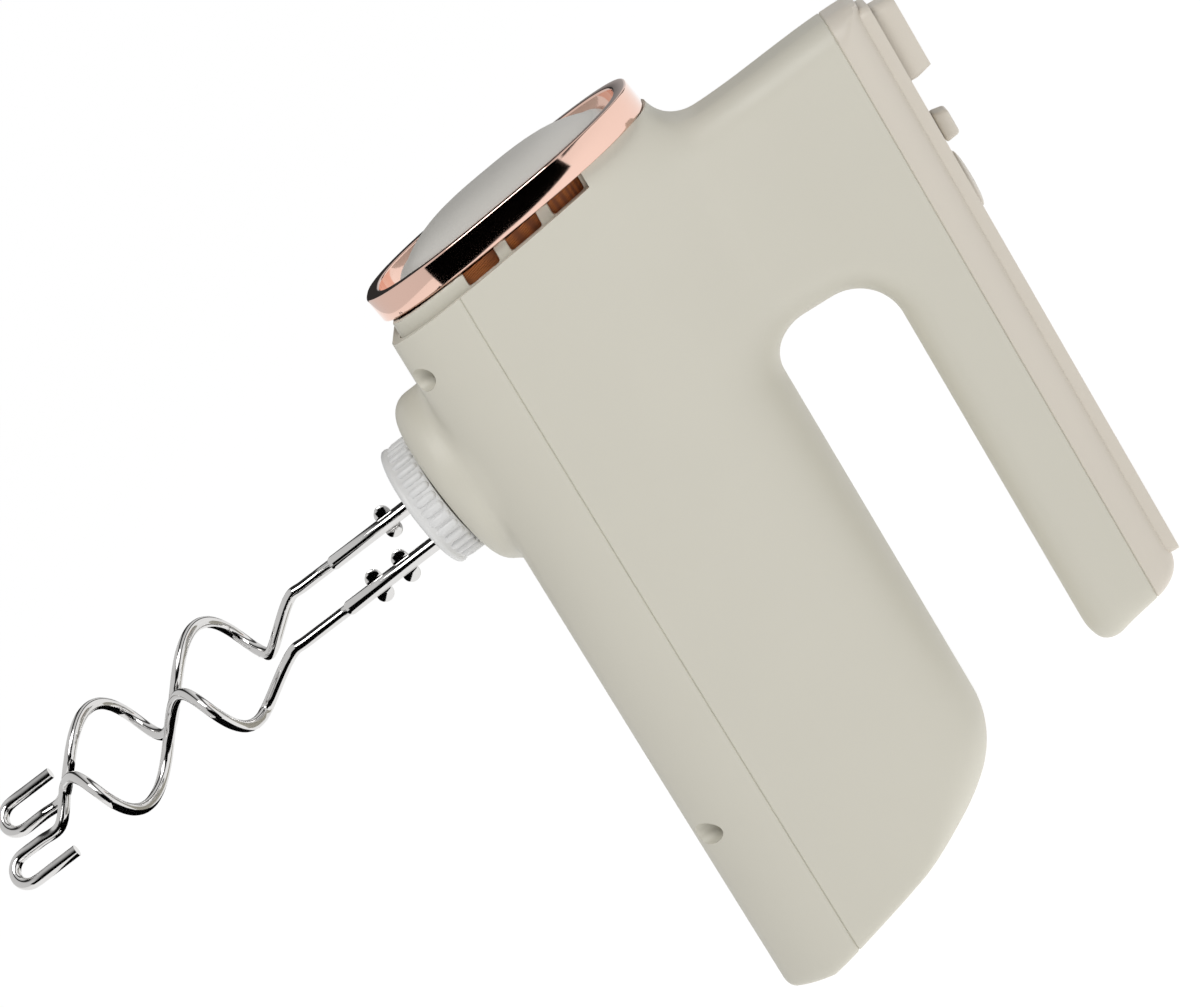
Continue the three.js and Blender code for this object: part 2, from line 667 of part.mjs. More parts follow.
function toothedWheel(teeth, outer, root, height, bore) {
  const shape = new THREE.Shape();
  for (let i = 0; i < teeth; i += 1) {
    const pitch = 2 * Math.PI / teeth;
    for (const [part, radius] of [[0, root], [0.22, outer], [0.48, outer], [0.7, root]]) {
      const angle = pitch * (i + part);
      const point = [radius * Math.cos(angle), radius * Math.sin(angle)];
      if (i === 0 && part === 0) shape.moveTo(...point);
      else shape.lineTo(...point);
    }
  }
  shape.closePath();
  if (bore > 0) {
    const hole = new THREE.Path();
    hole.absarc(0, 0, bore, 0, 2 * Math.PI, true);
    shape.holes.push(hole);
  }
  return solidOf(new THREE.ExtrudeGeometry(shape, { depth: height, bevelEnabled: false,
    curveSegments: 20 }));
}

const collarLow = -bossDrop - gap - collarHeight;

function spindleParts() {
  for (const [side, x, y] of spindlePlaces()) {
    const sleeve = cutBy(rod('z', collarLow + 1.5, sleeveTop, sleeveRadius, [x, y]),
      rod('z', collarLow - 1, sleeveTop + 1, sleeveBore, [x, y]));
    addPart(`spindle_sleeve_${side}`, sleeve, metal(steel, 0.35), drive);
    const pitchRadius = wheelTeeth * wheelModule / 2;
    const wheel = toothedWheel(wheelTeeth, pitchRadius + wheelModule - gap,
      pitchRadius - wheelModule * 1.1, wheelHeight, sleeveRadius + gap)
      .translate([x, y, wormZ - wheelHeight / 2]);
    addPart(`worm_wheel_${side}`, wheel, matte(0xe8e4d4, 0.4), drive);
    const bushTop = bushFrom + bushHeight;
    const bush = cutBy(rod('z', bushFrom, bushTop, sleeveRadius + bushWall + gap, [x, y]),
      rod('z', bushFrom - 1, bushTop + 1, sleeveRadius + gap, [x, y]));
    addPart(`spindle_bush_${side}`, bush, metal(0xb08d57, 0.4), drive);
  }
}

// Cast frame that carries the two spindle bushes under the worm.
function gearFrame() {
  const { fromX, toX, halfWidth, low, thickness, postHalfWidth, postThickness } = gearCasting;
  const plate = box(fromX, toX, -halfWidth, halfWidth, low, low + thickness);
  const holes = spindlePlaces().map(([, x, y]) =>
    rod('z', bushFrom, bushFrom + bushHeight, sleeveRadius + bushWall + 2 * gap, [x, y]));
  const post = box(bearing.front - 2, bearing.front - 2 + postThickness,
    -postHalfWidth, postHalfWidth, low + thickness - 0.5, wormZ + postHalfWidth);
  const seat = rod('x', bearing.front - 5, bearing.front + 10, bearing.radius + gap, [0, wormZ]);
  return cutBy(joined(plate, post), seat, ...holes);
}

// Oval ribbed collar under the boss; the ribs fade towards a smooth rim.
function spindleCollar() {
  const count = ribCount * 2;
  const levels = [[0, 1], [2, 1], [4.5, 0.8], [6.2, 0], [collarHeight - 0.8, 0], [collarHeight, 0]];
  const top = -bossDrop - gap;
  const rings = levels.map(([down, rib], level) => {
    const shrink = level === levels.length - 1 ? 0.8 : 0;
    return Array.from({ length: count }, (_, i) => {
      const angle = 2 * Math.PI * i / count;
      const bump = ribHeight * rib * (i % 2 ? 0 : -1);
      return new THREE.Vector3((collarHalfX + bump - shrink) * Math.cos(angle),
        (collarHalfY + bump - shrink) * Math.sin(angle), top - down);
    });
  });
  const hollows = spindlePlaces().map(([, x, y]) =>
    rod('z', collarLow - 1, top + 1, sleeveRadius + sleeveRoom, [x, y]));
  return cutBy(loft(rings), ...hollows);
}

// Centre line of a hook: shank, slanted lead, skewed helix, straight leg and return bend.
function hookPath(side) {
  const [, x, y] = spindlePlaces().find(([name]) => name === side);
  const mirror = side === 'left' ? -1 : 1;
  const bendAt = side === 'left' ? 42.5 : 38.5;
  const firstTurn = side === 'left' ? -0.35 : 0;
  const startZ = side === 'left' ? 60 : 52;
  const helix = (phase) => new THREE.Vector3(helixRadius * Math.cos(phase),
    mirror * helixRadius * Math.sin(phase),
    startZ + helixPitch * phase / (2 * Math.PI) + helixSkew * (Math.cos(phase) - 1));
  const legs = side === 'left' ? [[0, 2.6], [6.4, -3]] : [[5.8, -2.6], [-0.8, 3]];
  const points = [new THREE.Vector3(0, 0, -hookTop), new THREE.Vector3(0, 0, bendAt - 4),
    new THREE.Vector3(0, 0, bendAt)];
  const last = side === 'left' ? 3.3 : 3.45;
  for (let t = firstTurn; t <= last * Math.PI; t += Math.PI / 9) points.push(helix(t));
  const [[ax, ay], [bx, by]] = legs;
  const half = [(ax - bx) / 2, (ay - by) / 2];
  const radius = Math.hypot(...half);
  const bend = hookEnd - radius;
  points.push(new THREE.Vector3(ax, ay, 118), new THREE.Vector3(ax, ay, 124));
  for (let i = 0; i <= 6; i += 1) {
    const angle = Math.PI * i / 6;
    points.push(new THREE.Vector3((ax + bx) / 2 + half[0] * Math.cos(angle),
      (ay + by) / 2 + half[1] * Math.cos(angle), bend + radius * Math.sin(angle)));
  }
  points.push(new THREE.Vector3(bx, by, bend - 6), new THREE.Vector3(bx, by, 117));
  return points.map((p) => new THREE.Vector3(x + p.x, y + p.y, hookBase - p.z));
}

function hook(side) {
  const [, x, y] = spindlePlaces().find(([name]) => name === side);
  const wire = sweep(smoothRun(hookPath(side), 60), wireRadius, 7);
  const shank = rod('z', hookBase - shankEnd, hookBase + hookTop, shankRadius, [x, y], 16);
  const lugRows = side === 'left' ? [lugAt, lugAt + lugStep] : [lugAt];
  const lugs = lugRows.map((down) => joined(
    rod('y', y - 0.6, y + 0.6, lugReach / 2, [x, hookBase - down]).translate([lugReach / 2, 0, 0]),
    rod('y', y - 0.6, y + 0.6, lugReach / 2, [x, hookBase - down]).translate([-lugReach / 2, 0, 0])));
  return joined(wire, shank, ...lugs);
}

// Evenly spaced points along a rounded run.
function smoothRun(points, count) {
  return new THREE.CatmullRomCurve3(points, false, 'centripetal').getSpacedPoints(count);
}

function motorParts() {
  const { length, halfWidth, halfHeight, bore } = stator;
  const x0 = motorX - length / 2;
  const x1 = motorX + length / 2;
  const span = (centre, side, from, to) =>
    (side < 0 ? [centre - to, centre - from] : [centre + from, centre + to]);
  const windows = [-1, 1].flatMap((up) => [-1, 1].map((side) => box(x0 - 1, x1 + 1,
    ...span(0, side, ...stator.windowAcross), ...span(wormZ, up, ...stator.windowHigh))));
  const boltHoles = [-1, 1].map((side) =>
    rod('x', x0 - 1, x1 + 1, boltRadius + 0.4, [side * boltAcross, wormZ], 16));
  const core = cutBy(box(x0, x1, -halfWidth, halfWidth, wormZ - halfHeight, wormZ + halfHeight),
    rod('x', x0 - 1, x1 + 1, bore, [0, wormZ], 28), ...windows, ...boltHoles);
  addPart('stator_core', core, metal(0x6f7378, 0.5), drive);
  [1, -1].forEach((up, i) => {
    const [low, high] = span(wormZ, up, coil.near, coil.near + coil.height);
    const outer = box(x0 - coil.overhang, x1 + coil.overhang, -coil.halfWidth, coil.halfWidth, low, high);
    const inner = box(x0 - 2 * gap, x1 + 2 * gap, -coil.coreHalfWidth, coil.coreHalfWidth, low - 1, high + 1);
    addPart(`field_coil_${i + 1}`, outer.subtract(inner), metal(copper, 0.45), drive);
  });
  const { slots, slotDepth, headRadius, headLength } = winding;
  const armature = toothedWheel(slots, armatureRadius, armatureRadius - slotDepth, length,
    shaftRadius + gap);
  const heads = [[-headLength, 0.2], [length - 0.2, length + headLength]].map(([from, to]) =>
    cutBy(rod('z', from, to, headRadius, [0, 0], 24), rod('z', from - 1, to + 1, shaftRadius + gap)));
  addPart('armature_core', alongX(joined(armature, ...heads), x0), metal(0x8a6a4a, 0.5), drive);
  const barrel = toothedWheel(16, commutator.radius, commutator.radius - 0.6, commutator.length,
    shaftRadius + gap);
  addPart('commutator', alongX(barrel, commutator.x - commutator.length / 2), metal(copper, 0.3), drive);
}

// Lays a solid drawn along Z on the worm's axis, its low end at x.
function alongX(solid, x) {
  const turn = new THREE.Matrix4().makeRotationY(Math.PI / 2).setPosition(x, 0, wormZ);
  return solidOf(geometryOf(solid).applyMatrix4(turn));
}

// Shaft with a one-start worm, drawn as rings whose high side winds around.
function motorShaft() {
  const sides = 12;
  const perTurn = 4;
  const turns = 7;
  const lead = Math.PI * wheelModule;
  const wormFrom = -5;
  const ringAt = (x, radiusAt) => Array.from({ length: sides }, (_, k) => {
    const angle = 2 * Math.PI * k / sides;
    const radius = radiusAt(angle);
    return new THREE.Vector3(x, radius * Math.cos(angle), wormZ + radius * Math.sin(angle));
  });
  const plain = () => shaftRadius;
  const rings = [ringAt(wormFrom - 5, plain), ringAt(wormFrom - gap, plain)];
  for (let i = 0; i <= turns * perTurn; i += 1) {
    const wind = 2 * Math.PI * i / perTurn;
    rings.push(ringAt(wormFrom + lead * i / perTurn, (angle) =>
      shaftRadius + (wormRadius - shaftRadius) * (0.5 + 0.5 * Math.cos(angle - wind))));
  }
  rings.push(ringAt(wormFrom + lead * turns + gap, plain), ringAt(bearing.rear + bearing.width, plain));
  return loft(rings);
}

function coolingFan() {
  const hub = rod('x', fan.x - fan.width / 2, fan.x + fan.width / 2, 6, [0, wormZ]);
  const disc = rod('x', fan.x + fan.width / 2 - 1.4, fan.x + fan.width / 2, fan.radius, [0, wormZ], 28);
  const blades = Array.from({ length: fan.blades }, (_, i) => solidOf(
    new THREE.BoxGeometry(fan.width - 1, fan.radius - 5, 1.2).translate(0, (fan.radius + 3.4) / 2, 0)
      .rotateX(2 * Math.PI * i / fan.blades).translate(fan.x, 0, wormZ)));
  const bore = rod('x', fan.x - 20, fan.x + 20, shaftRadius + gap, [0, wormZ]);
  return cutBy(joined(hub, disc, ...blades), bore);
}

function bearingAt(x) {
  return cutBy(rod('x', x, x + bearing.width, bearing.radius, [0, wormZ]),
    rod('x', x - 1, x + bearing.width + 1, shaftRadius + gap, [0, wormZ]));
}

// Rear bracket: carries the rear bearing, the brush holders and the motor bolts.
function motorBracket() {
  const x0 = bearing.rear - 3;
  const plate = box(x0, x0 + 5, -26, 26, wormZ - 14, wormZ + 14);
  const seat = rod('x', x0 - 1, x0 + 12, bearing.radius + gap, [0, wormZ]);
  const rim = rod('x', x0 + 4.5, x0 + 10, bearing.radius + 3, [0, wormZ]);
  const boltHoles = [-1, 1].map((side) =>
    rod('x', x0 - 1, x0 + 6, boltRadius + 0.4, [side * boltAcross, wormZ], 16));
  return cutBy(joined(plate, rim), seat, ...boltHoles);
}

function brushParts() {
  [-1, 1].forEach((side, i) => {
    const near = commutator.radius + gap;
    const range = (from, to) => [Math.min(side * from, side * to), Math.max(side * from, side * to)];
    const [x0, x1] = [commutator.x - brush.width / 2, commutator.x + brush.width / 2];
    const [z0, z1] = [wormZ - brush.height / 2, wormZ + brush.height / 2];
    addPart(`carbon_brush_${i + 1}`, box(x0, x1, ...range(near, near + brush.length), z0, z1),
      matte(0x2b2b2b, 0.7), drive);
    const tube = box(x0 - 1.3, x1 + 1.3, ...range(near + 2.5, near + 10.8), z0 - 1.3, z1 + 1.3)
      .subtract(box(x0 - gap, x1 + gap, ...range(near, near + 9.6), z0 - gap, z1 + gap));
    addPart(`brush_holder_${i + 1}`, tube, metal(0xc8a24a, 0.35), drive);
  });
}

function motorBolts() {
  [-1, 1].forEach((side, i) => {
    const from = motorX - stator.length / 2 - 4;
    const to = bearing.rear + 5;
    const bolt = joined(rod('x', from, to, boltRadius, [side * boltAcross, wormZ], 16),
      rod('x', to - 2.5, to, 2 * boltRadius, [side * boltAcross, wormZ], 6));
    addPart(`motor_bolt_${i + 1}`, bolt, metal(steel, 0.35), drive);
  });
}

// ---------------------------------------------------------------- assembly

addPart('main_housing', mainHousing(), matte(cream));
addPart('bottom_cover', bottomCover(), matte(cream));
addPart('handle_cover', handleCover(), matte(warmCream));
addPart('switch_panel', switchPanel(), matte(warmCream, 0.5));
addPart('nose_ring', noseRing(), metal(0xd79a80, 0.12));
addPart('nose_panel', nosePanel(), matte(0xd6d4ce, 0.45));
addPart('vent_grille', ventGrille(), matte(0xd8d0c4));
addPart('vent_screen', ventScreen(), matte(0x5f2d10, 0.7));
addPart('spindle_collar', spindleCollar(), matte(0xd8d8d6, 0.5), drive);

screwPlaces.forEach(([x, y], i) => {
  const head = cutBy(rod('z', screwSeatZ - gap - 2.2, screwSeatZ - gap, screwHeadRadius, [x, y], 14),
    box(x - 0.35, x + 0.35, y - 1.9, y + 1.9, screwSeatZ - 4, screwSeatZ - 1.5));
  const shank = rod('z', screwSeatZ - 1, 10, screwRadius - gap, [x, y], 10);
  addPart(`cover_screw_${i + 1}`, joined(head, shank), metal(steel, 0.35));
});

addPart('ejector_button', ejectorButton(), matte(warmCream, 0.5));
addPart('ejector_yoke', ejectorYoke(), matte(0xdedccf, 0.5));
addPart('ejector_spring', coilSpring(yokeRodX, 0, springShelfZ + gap, yokeTopZ - ejector.stroke,
  spring.radius, spring.wire, spring.turns), metal(steel, 0.3));
addPart('speed_knob', speedKnob(), matte(0xf0e4d2, 0.45));
addPart('turbo_button', turboButton(), matte(warmCream, 0.35));
addPart('speed_switch', box(slider.x - speedSwitch.ahead, slider.x + speedSwitch.behind,
  -speedSwitch.halfWidth, speedSwitch.halfWidth, boardTopZ + 0.4, handleTop - 4.2), matte(0x3a3a3c, 0.5));
addPart('turbo_switch', box(turbo.x - 5, turbo.x + 5, -4, 4, boardTopZ + 3.4,
  handleTop - 3.6 - turbo.stroke - gap),
  matte(0x3a3a3c, 0.5));
addPart('control_board', box(board.fromX, board.fromX + board.length, -board.halfWidth,
  board.halfWidth, boardTopZ - board.thickness, boardTopZ), matte(0x1f5a3a, 0.5));
addPart('cord_gland', joined(
  rod('x', tailLowX - 10, tailLowX - 0.5, glandRadius, [0, glandZ]),
  rod('x', tailLowX - 10, tailLowX - wall - 2, glandRadius + 1.5, [0, glandZ]))
  .subtract(rod('x', tailLowX - 12, tailLowX + 2, 3, [0, glandZ])), matte(0x4a4a4a, 0.7));

spindleParts();
addPart('gear_frame', gearFrame(), metal(0xa9adb2, 0.5), drive);
addPart('hook_left', hook('left'), metal(0xd5d7da, 0.08), drive);
addPart('hook_right', hook('right'), metal(0xd5d7da, 0.08), drive);
motorParts();
addPart('motor_shaft', motorShaft(), metal(steel, 0.2), drive);
addPart('cooling_fan', coolingFan(), matte(0x2f2f31, 0.5), drive);
addPart('bearing_front', bearingAt(bearing.front - 3), metal(0xb08d57, 0.35), drive);
addPart('bearing_rear', bearingAt(bearing.rear - 1), metal(0xb08d57, 0.35), drive);
addPart('motor_bracket', motorBracket(), matte(0x4a4a4c, 0.5), drive);
brushParts();
motorBolts();

// Turned to stand on the heel: the heel plane becomes Z = 0, its middle the origin.
const heelZ = 19;             // middle of the tail's heel face, along the seam's normal
const standing = new THREE.Group();
mixer.rotation.y = Math.PI / 2 + heelLean;
mixer.updateMatrix();
const heelMiddle = new THREE.Vector3(heelX(heelZ), 0, heelZ).applyMatrix4(mixer.matrix);
mixer.position.copy(heelMiddle).negate();
standing.add(mixer);

export default standing;
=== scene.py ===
import math

import bmesh
import bpy
import numpy as np
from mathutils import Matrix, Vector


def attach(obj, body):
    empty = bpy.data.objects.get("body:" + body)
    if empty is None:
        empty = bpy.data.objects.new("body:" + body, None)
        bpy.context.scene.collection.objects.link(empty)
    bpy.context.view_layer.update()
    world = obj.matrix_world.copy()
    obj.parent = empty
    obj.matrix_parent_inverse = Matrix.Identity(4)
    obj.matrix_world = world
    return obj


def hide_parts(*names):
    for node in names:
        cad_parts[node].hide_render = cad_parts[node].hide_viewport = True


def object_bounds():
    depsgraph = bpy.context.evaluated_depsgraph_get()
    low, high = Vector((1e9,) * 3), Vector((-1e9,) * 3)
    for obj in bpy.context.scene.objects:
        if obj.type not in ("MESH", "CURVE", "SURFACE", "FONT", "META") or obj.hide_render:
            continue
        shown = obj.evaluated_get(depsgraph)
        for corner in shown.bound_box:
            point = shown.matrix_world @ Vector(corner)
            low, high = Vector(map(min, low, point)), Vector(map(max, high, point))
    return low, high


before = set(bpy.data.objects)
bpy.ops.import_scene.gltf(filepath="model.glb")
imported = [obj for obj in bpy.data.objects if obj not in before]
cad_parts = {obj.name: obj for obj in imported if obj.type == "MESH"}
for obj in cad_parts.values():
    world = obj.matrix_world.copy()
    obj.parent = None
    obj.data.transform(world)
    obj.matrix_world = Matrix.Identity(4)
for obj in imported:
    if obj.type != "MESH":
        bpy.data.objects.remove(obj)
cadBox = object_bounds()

import openvdb
from mathutils import Matrix, Vector

# Pieces are shaped in millimetres in the mixer's working attitude (X nose to tail,
# Y across, Z from the casing up to the handle) and then stood on the heel.
attitude = {"turn": 108.5, "heelX": 187.943, "heelZ": 19.0}
leans = {"heel": 18.5, "face": 9.0, "drive": 7.0}
driveFoot = (43.25, 0.0, -21.3)   # where the drive axis meets the underside
noseBack = {"recess": 4.2, "centreZ": 19.5}

tanHeel = math.tan(math.radians(leans["heel"]))
tanFace = math.tan(math.radians(leans["face"]))


def standMatrix():
    turn = math.radians(attitude["turn"])
    c, s = math.cos(turn), math.sin(turn)
    x, z = attitude["heelX"], attitude["heelZ"]
    rows = [[c, 0, s, -x * c - z * s], [0, 1, 0, 0], [-s, 0, c, x * s - z * c]]
    return Matrix([[v / 1000 for v in row] for row in rows] + [[0, 0, 0, 1]])


def driveMatrix():
    a = math.radians(leans["drive"])
    c, s = math.cos(a), math.sin(a)
    x, y, z = driveFoot
    return Matrix([[c, 0, -s, x], [0, 1, 0, y], [s, 0, c, z], [0, 0, 0, 1]])


def noseMatrix():
    a = math.radians(leans["face"])
    c, s = math.cos(a), math.sin(a)
    z = noseBack["centreZ"]
    x = -tanFace * z - noseBack["recess"]
    return Matrix([[0, -s, -c, x], [-1, 0, 0, 0], [0, c, -s, z], [0, 0, 0, 1]])


stand, fromDrive, fromNose = standMatrix(), driveMatrix(), noseMatrix()


# ------- small mesh tools

def makePiece(name, points, faces):
    mesh = bpy.data.meshes.new(name)
    mesh.from_pydata([tuple(map(float, p)) for p in points], [], [tuple(map(int, f)) for f in faces])
    piece = bpy.data.objects.new(name, mesh)
    bpy.context.scene.collection.objects.link(piece)
    return piece


def outward(piece):
    shape = bmesh.new()
    shape.from_mesh(piece.data)
    bmesh.ops.remove_doubles(shape, verts=shape.verts, dist=1e-5)
    bmesh.ops.recalc_face_normals(shape, faces=shape.faces)
    shape.to_mesh(piece.data)
    shape.free()
    return piece


def settleModifiers(piece):
    seen = bpy.context.evaluated_depsgraph_get()
    seen.update()
    mesh = bpy.data.meshes.new_from_object(piece.evaluated_get(seen))
    piece.modifiers.clear()
    piece.data = mesh
    return piece


def carve(piece, *tools, how="DIFFERENCE"):
    for tool in tools:
        change = piece.modifiers.new("carve", "BOOLEAN")
        change.operation, change.object, change.solver = how, tool, "MANIFOLD"
        settleModifiers(piece)
        bpy.data.objects.remove(tool)
    return piece


def copyOf(piece, name):
    twin = bpy.data.objects.new(name, piece.data.copy())
    bpy.context.scene.collection.objects.link(twin)
    return twin


def softened(piece, width, segments=3, angle=35):
    edge = piece.modifiers.new("edges", "BEVEL")
    edge.width, edge.segments, edge.angle_limit = width, segments, math.radians(angle)
    edge.limit_method = "ANGLE"
    return settleModifiers(piece)


# Skins rings of equal count; wrap joins the last ring to the first instead of capping both.
def lofted(name, rings, wrap=False):
    count, total = len(rings[0]), len(rings)
    points = [p for ring in rings for p in ring]
    faces = []
    for r in range(total if wrap else total - 1):
        a, b = r * count, (r + 1) % total * count
        for i in range(count):
            j = (i + 1) % count
            faces.append((a + i, a + j, b + j, b + i))
    if not wrap:
        for start in (0, (total - 1) * count):
            points.append(np.mean(points[start:start + count], 0))
            faces += [(start + i, start + (i + 1) % count, len(points) - 1) for i in range(count)]
    return outward(makePiece(name, points, faces))


# Turns a profile of (radius, height) about Z.
def turned(name, profile, sides=64):
    angles = np.linspace(0, 2 * math.pi, sides, endpoint=False)
    return lofted(name, [[(r * math.cos(a), r * math.sin(a), z) for a in angles] for r, z in profile])


def rod(radius, low, high, at=(0, 0), sides=48):
    piece = turned("tool", [(radius, low), (radius, high)], sides)
    piece.data.transform(Matrix.Translation((*at, 0)))
    return piece


def block(low, high):
    (x0, y0, z0), (x1, y1, z1) = low, high
    return lofted("tool", [[(x0, y0, z), (x1, y0, z), (x1, y1, z), (x0, y1, z)] for z in (z0, z1)])


# Plan outline with rounded corners, raised from one height to another.
def roundedPlan(x0, x1, half, radii, steps=8):
    corners = [(x0, -half, 180), (x1, -half, 270), (x1, half, 0), (x0, half, 90)]
    outline = []
    for (x, y, start), r in zip(corners, radii):
        cx, cy = x + (r if x == x0 else -r), y + (r if y < 0 else -r)
        for k in range(steps + 1):
            a = math.radians(start + 90 * k / steps)
            outline.append((cx + r * math.cos(a), cy + r * math.sin(a)))
    return outline


def prism(name, outline, low, high):
    return lofted(name, [[(x, y, z) for x, y in outline] for z in (low, high)])


def placed(piece, matrix):
    piece.data.transform(matrix)
    return piece


# Last step of every piece: stood on its heel, shaded, given its finish and its body.
def finished(piece, body, slotName, material, *nodes, crease=32):
    piece.data.transform(stand)
    piece.data.shade_smooth()
    piece.data.set_sharp_from_angle(angle=math.radians(crease))
    piece.data.materials.clear()
    piece.data.materials.append(material)
    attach(piece, body)
    if nodes:
        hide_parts(*nodes)
    print("made", piece.name, len(piece.data.polygons), "faces")
    return piece


# ------- surfaces from distance rules

def roundJoin(a, b, r):
    return np.maximum(r, np.minimum(a, b)) - np.hypot(np.maximum(r - a, 0), np.maximum(r - b, 0))


def roundMeet(a, b, r):
    return np.minimum(-r, np.maximum(a, b)) + np.hypot(np.maximum(r + a, 0), np.maximum(r + b, 0))


def roundBox(u, v, halfU, halfV, r):
    a, b = np.abs(u) - halfU + r, np.abs(v) - halfV + r
    return np.hypot(np.maximum(a, 0), np.maximum(b, 0)) + np.minimum(np.maximum(a, b), 0) - r


def smoothStep(value, start, end):
    t = np.clip((value - start) / (end - start), 0, 1)
    return t * t * (3 - 2 * t)


# Meshes where a rule is zero, then slides each point onto the exact surface.
def skinOf(name, rule, low, high, step):
    axes = [np.arange(a, b + step, step) for a, b in zip(low, high)]
    x, y, z = np.meshgrid(*axes, indexing="ij")
    grid = openvdb.FloatGrid(background=9.0)
    grid.copyFromArray(rule(x, y, z).astype(np.float32))
    points, quads = grid.convertToQuads(0.0)
    points = np.asarray(points, float) * step + np.array(low, float)
    h = step * 0.05
    for _ in range(3):
        x, y, z = points.T
        slope = np.stack([rule(x + h, y, z) - rule(x - h, y, z), rule(x, y + h, z) - rule(x, y - h, z),
                          rule(x, y, z + h) - rule(x, y, z - h)], 1) / (2 * h)
        size = np.maximum((slope ** 2).sum(1), 0.25)
        move = slope * (rule(x, y, z) / size)[:, None]
        points -= np.clip(move, -0.4 * step, 0.4 * step)
    return outward(makePiece(name, points, quads))


# ------- materials

class Wire:
    def __init__(self, tree, socket):
        self.tree, self.socket = tree, socket

    def maths(self, operation, *values):
        return addNode(self.tree, "ShaderNodeMath", {"operation": operation}, dict(enumerate(values)))

    def __add__(self, other):
        return self.maths("ADD", self, other)

    def __sub__(self, other):
        return self.maths("SUBTRACT", self, other)

    def __rsub__(self, other):
        return self.maths("SUBTRACT", other, self)

    def __mul__(self, other):
        return self.maths("MULTIPLY", self, other)

    def __truediv__(self, other):
        return self.maths("DIVIDE", self, other)

    __radd__, __rmul__ = __add__, __mul__


# One node: its settings first, then values or links for its sockets.
def addNode(tree, kind, settings=None, values=None, out=0):
    made = tree.nodes.new(kind)
    for key, value in (settings or {}).items():
        if key == "stops":
            ramp = made.color_ramp.elements
            while len(ramp) < len(value):
                ramp.new(0.5)
            for stop, (position, colour) in zip(ramp, value):
                stop.position, stop.color = position, (*colour, 1)
        else:
            setattr(made, key, value)
    for key, value in (values or {}).items():
        socket = made.inputs[key]
        if isinstance(value, Wire):
            tree.links.new(value.socket, socket)
        else:
            socket.default_value = value
    return Wire(tree, made.outputs[out]) if len(made.outputs) else None


class Finish:
    def __init__(self, name):
        self.material = bpy.data.materials.new(name)
        self.material.use_nodes = True
        self.tree = self.material.node_tree
        self.tree.nodes.clear()
        self.here = self.add("ShaderNodeTexCoord", out="Object")

    def add(self, kind, settings=None, values=None, out=0):
        return addNode(self.tree, kind, settings, values, out)

    def stretched(self, scale, turn=(0, 0, 0)):
        return self.add("ShaderNodeMapping", {}, {"Vector": self.here, "Scale": scale, "Rotation": turn})

    def noise(self, scale, detail=3.0, where=None):
        return self.add("ShaderNodeTexNoise", {}, {
            "Vector": where or self.here, "Scale": scale, "Detail": detail})

    def bands(self, scale, direction="X", distortion=0.0, where=None):
        return self.add("ShaderNodeTexWave", {"bands_direction": direction}, {
            "Vector": where or self.here, "Scale": scale, "Distortion": distortion}, out="Fac")

    def blend(self, factor, first, second):
        tint = lambda c: (*c, 1) if isinstance(c, tuple) and len(c) == 3 else c
        return self.add("ShaderNodeMix", {"data_type": "RGBA"}, {
            0: factor, 6: tint(first), 7: tint(second)}, out=2)

    def bump(self, height, distance, strength=1.0):
        return self.add("ShaderNodeBump", {}, {
            "Height": height, "Distance": distance, "Strength": strength})

    def close(self, colour, roughness, normal=None, **fixed):
        values = {"Base Color": (*colour, 1) if isinstance(colour, tuple) else colour,
                  "Roughness": roughness}
        if normal:
            values["Normal"] = normal
        values.update({key.replace("_", " "): value for key, value in fixed.items()})
        surface = self.add("ShaderNodeBsdfPrincipled", {}, values)
        self.add("ShaderNodeOutputMaterial", {}, {"Surface": surface})
        return self.material


# Moulded plastic: faint clouding of the colour, a fine spark-eroded grain, uneven sheen.
def mouldedPlastic(name, colour, roughness, grain=0.00003, cloud=0.03, coat=0.0):
    f = Finish(name)
    clouds = f.noise(35, 4)
    fine = f.noise(2600, 2)
    deep = tuple(c * (1 - cloud) for c in colour)
    tone = f.blend(clouds, deep, colour)
    sheen = roughness + (f.noise(160, 3) - 0.5) * 0.12
    return f.close(tone, sheen, f.bump(fine, grain, 0.5), Coat_Weight=coat, Coat_Roughness=0.25)


# Plated metal: mirror finish with a slightly uneven polish.
def polished(name, colour, roughness, wave=0.00002):
    f = Finish(name)
    patch = f.noise(90, 3)
    tone = f.blend(patch * 0.5, colour, tuple(c * 0.93 for c in colour))
    return f.close(tone, roughness + patch * 0.05, f.bump(f.noise(220, 2), wave, 0.4), Metallic=1.0)


# Machined or cast metal, brushed one way.
def workedMetal(name, colour, roughness, stretch=(40, 900, 900), grain=0.00002):
    f = Finish(name)
    lines = f.noise(1.0, 4, f.stretched(stretch))
    tone = f.blend(lines, tuple(c * 0.8 for c in colour), colour)
    return f.close(tone, roughness + (lines - 0.5) * 0.25, f.bump(lines, grain, 0.6), Metallic=1.0)


def laminated(name, turn):
    f = Finish(name)
    sheets = f.bands(320, "X", 0, f.stretched((1, 1, 1), turn))
    tone = f.blend(sheets, (0.09, 0.09, 0.1), (0.42, 0.42, 0.44))
    return f.close(tone, 0.35 + sheets * 0.25, f.bump(sheets, 0.0001, 0.7), Metallic=0.9)


def windings(name, colour, scale, turn):
    f = Finish(name)
    strands = f.bands(scale, "X", 1.2, f.stretched((1, 1, 1), turn))
    tone = f.blend(strands, tuple(c * 0.3 for c in colour), colour)
    return f.close(tone, 0.3 + (1 - strands) * 0.3, f.bump(strands, 0.0002, 0.9),
                   Metallic=0.85, Coat_Weight=0.4)


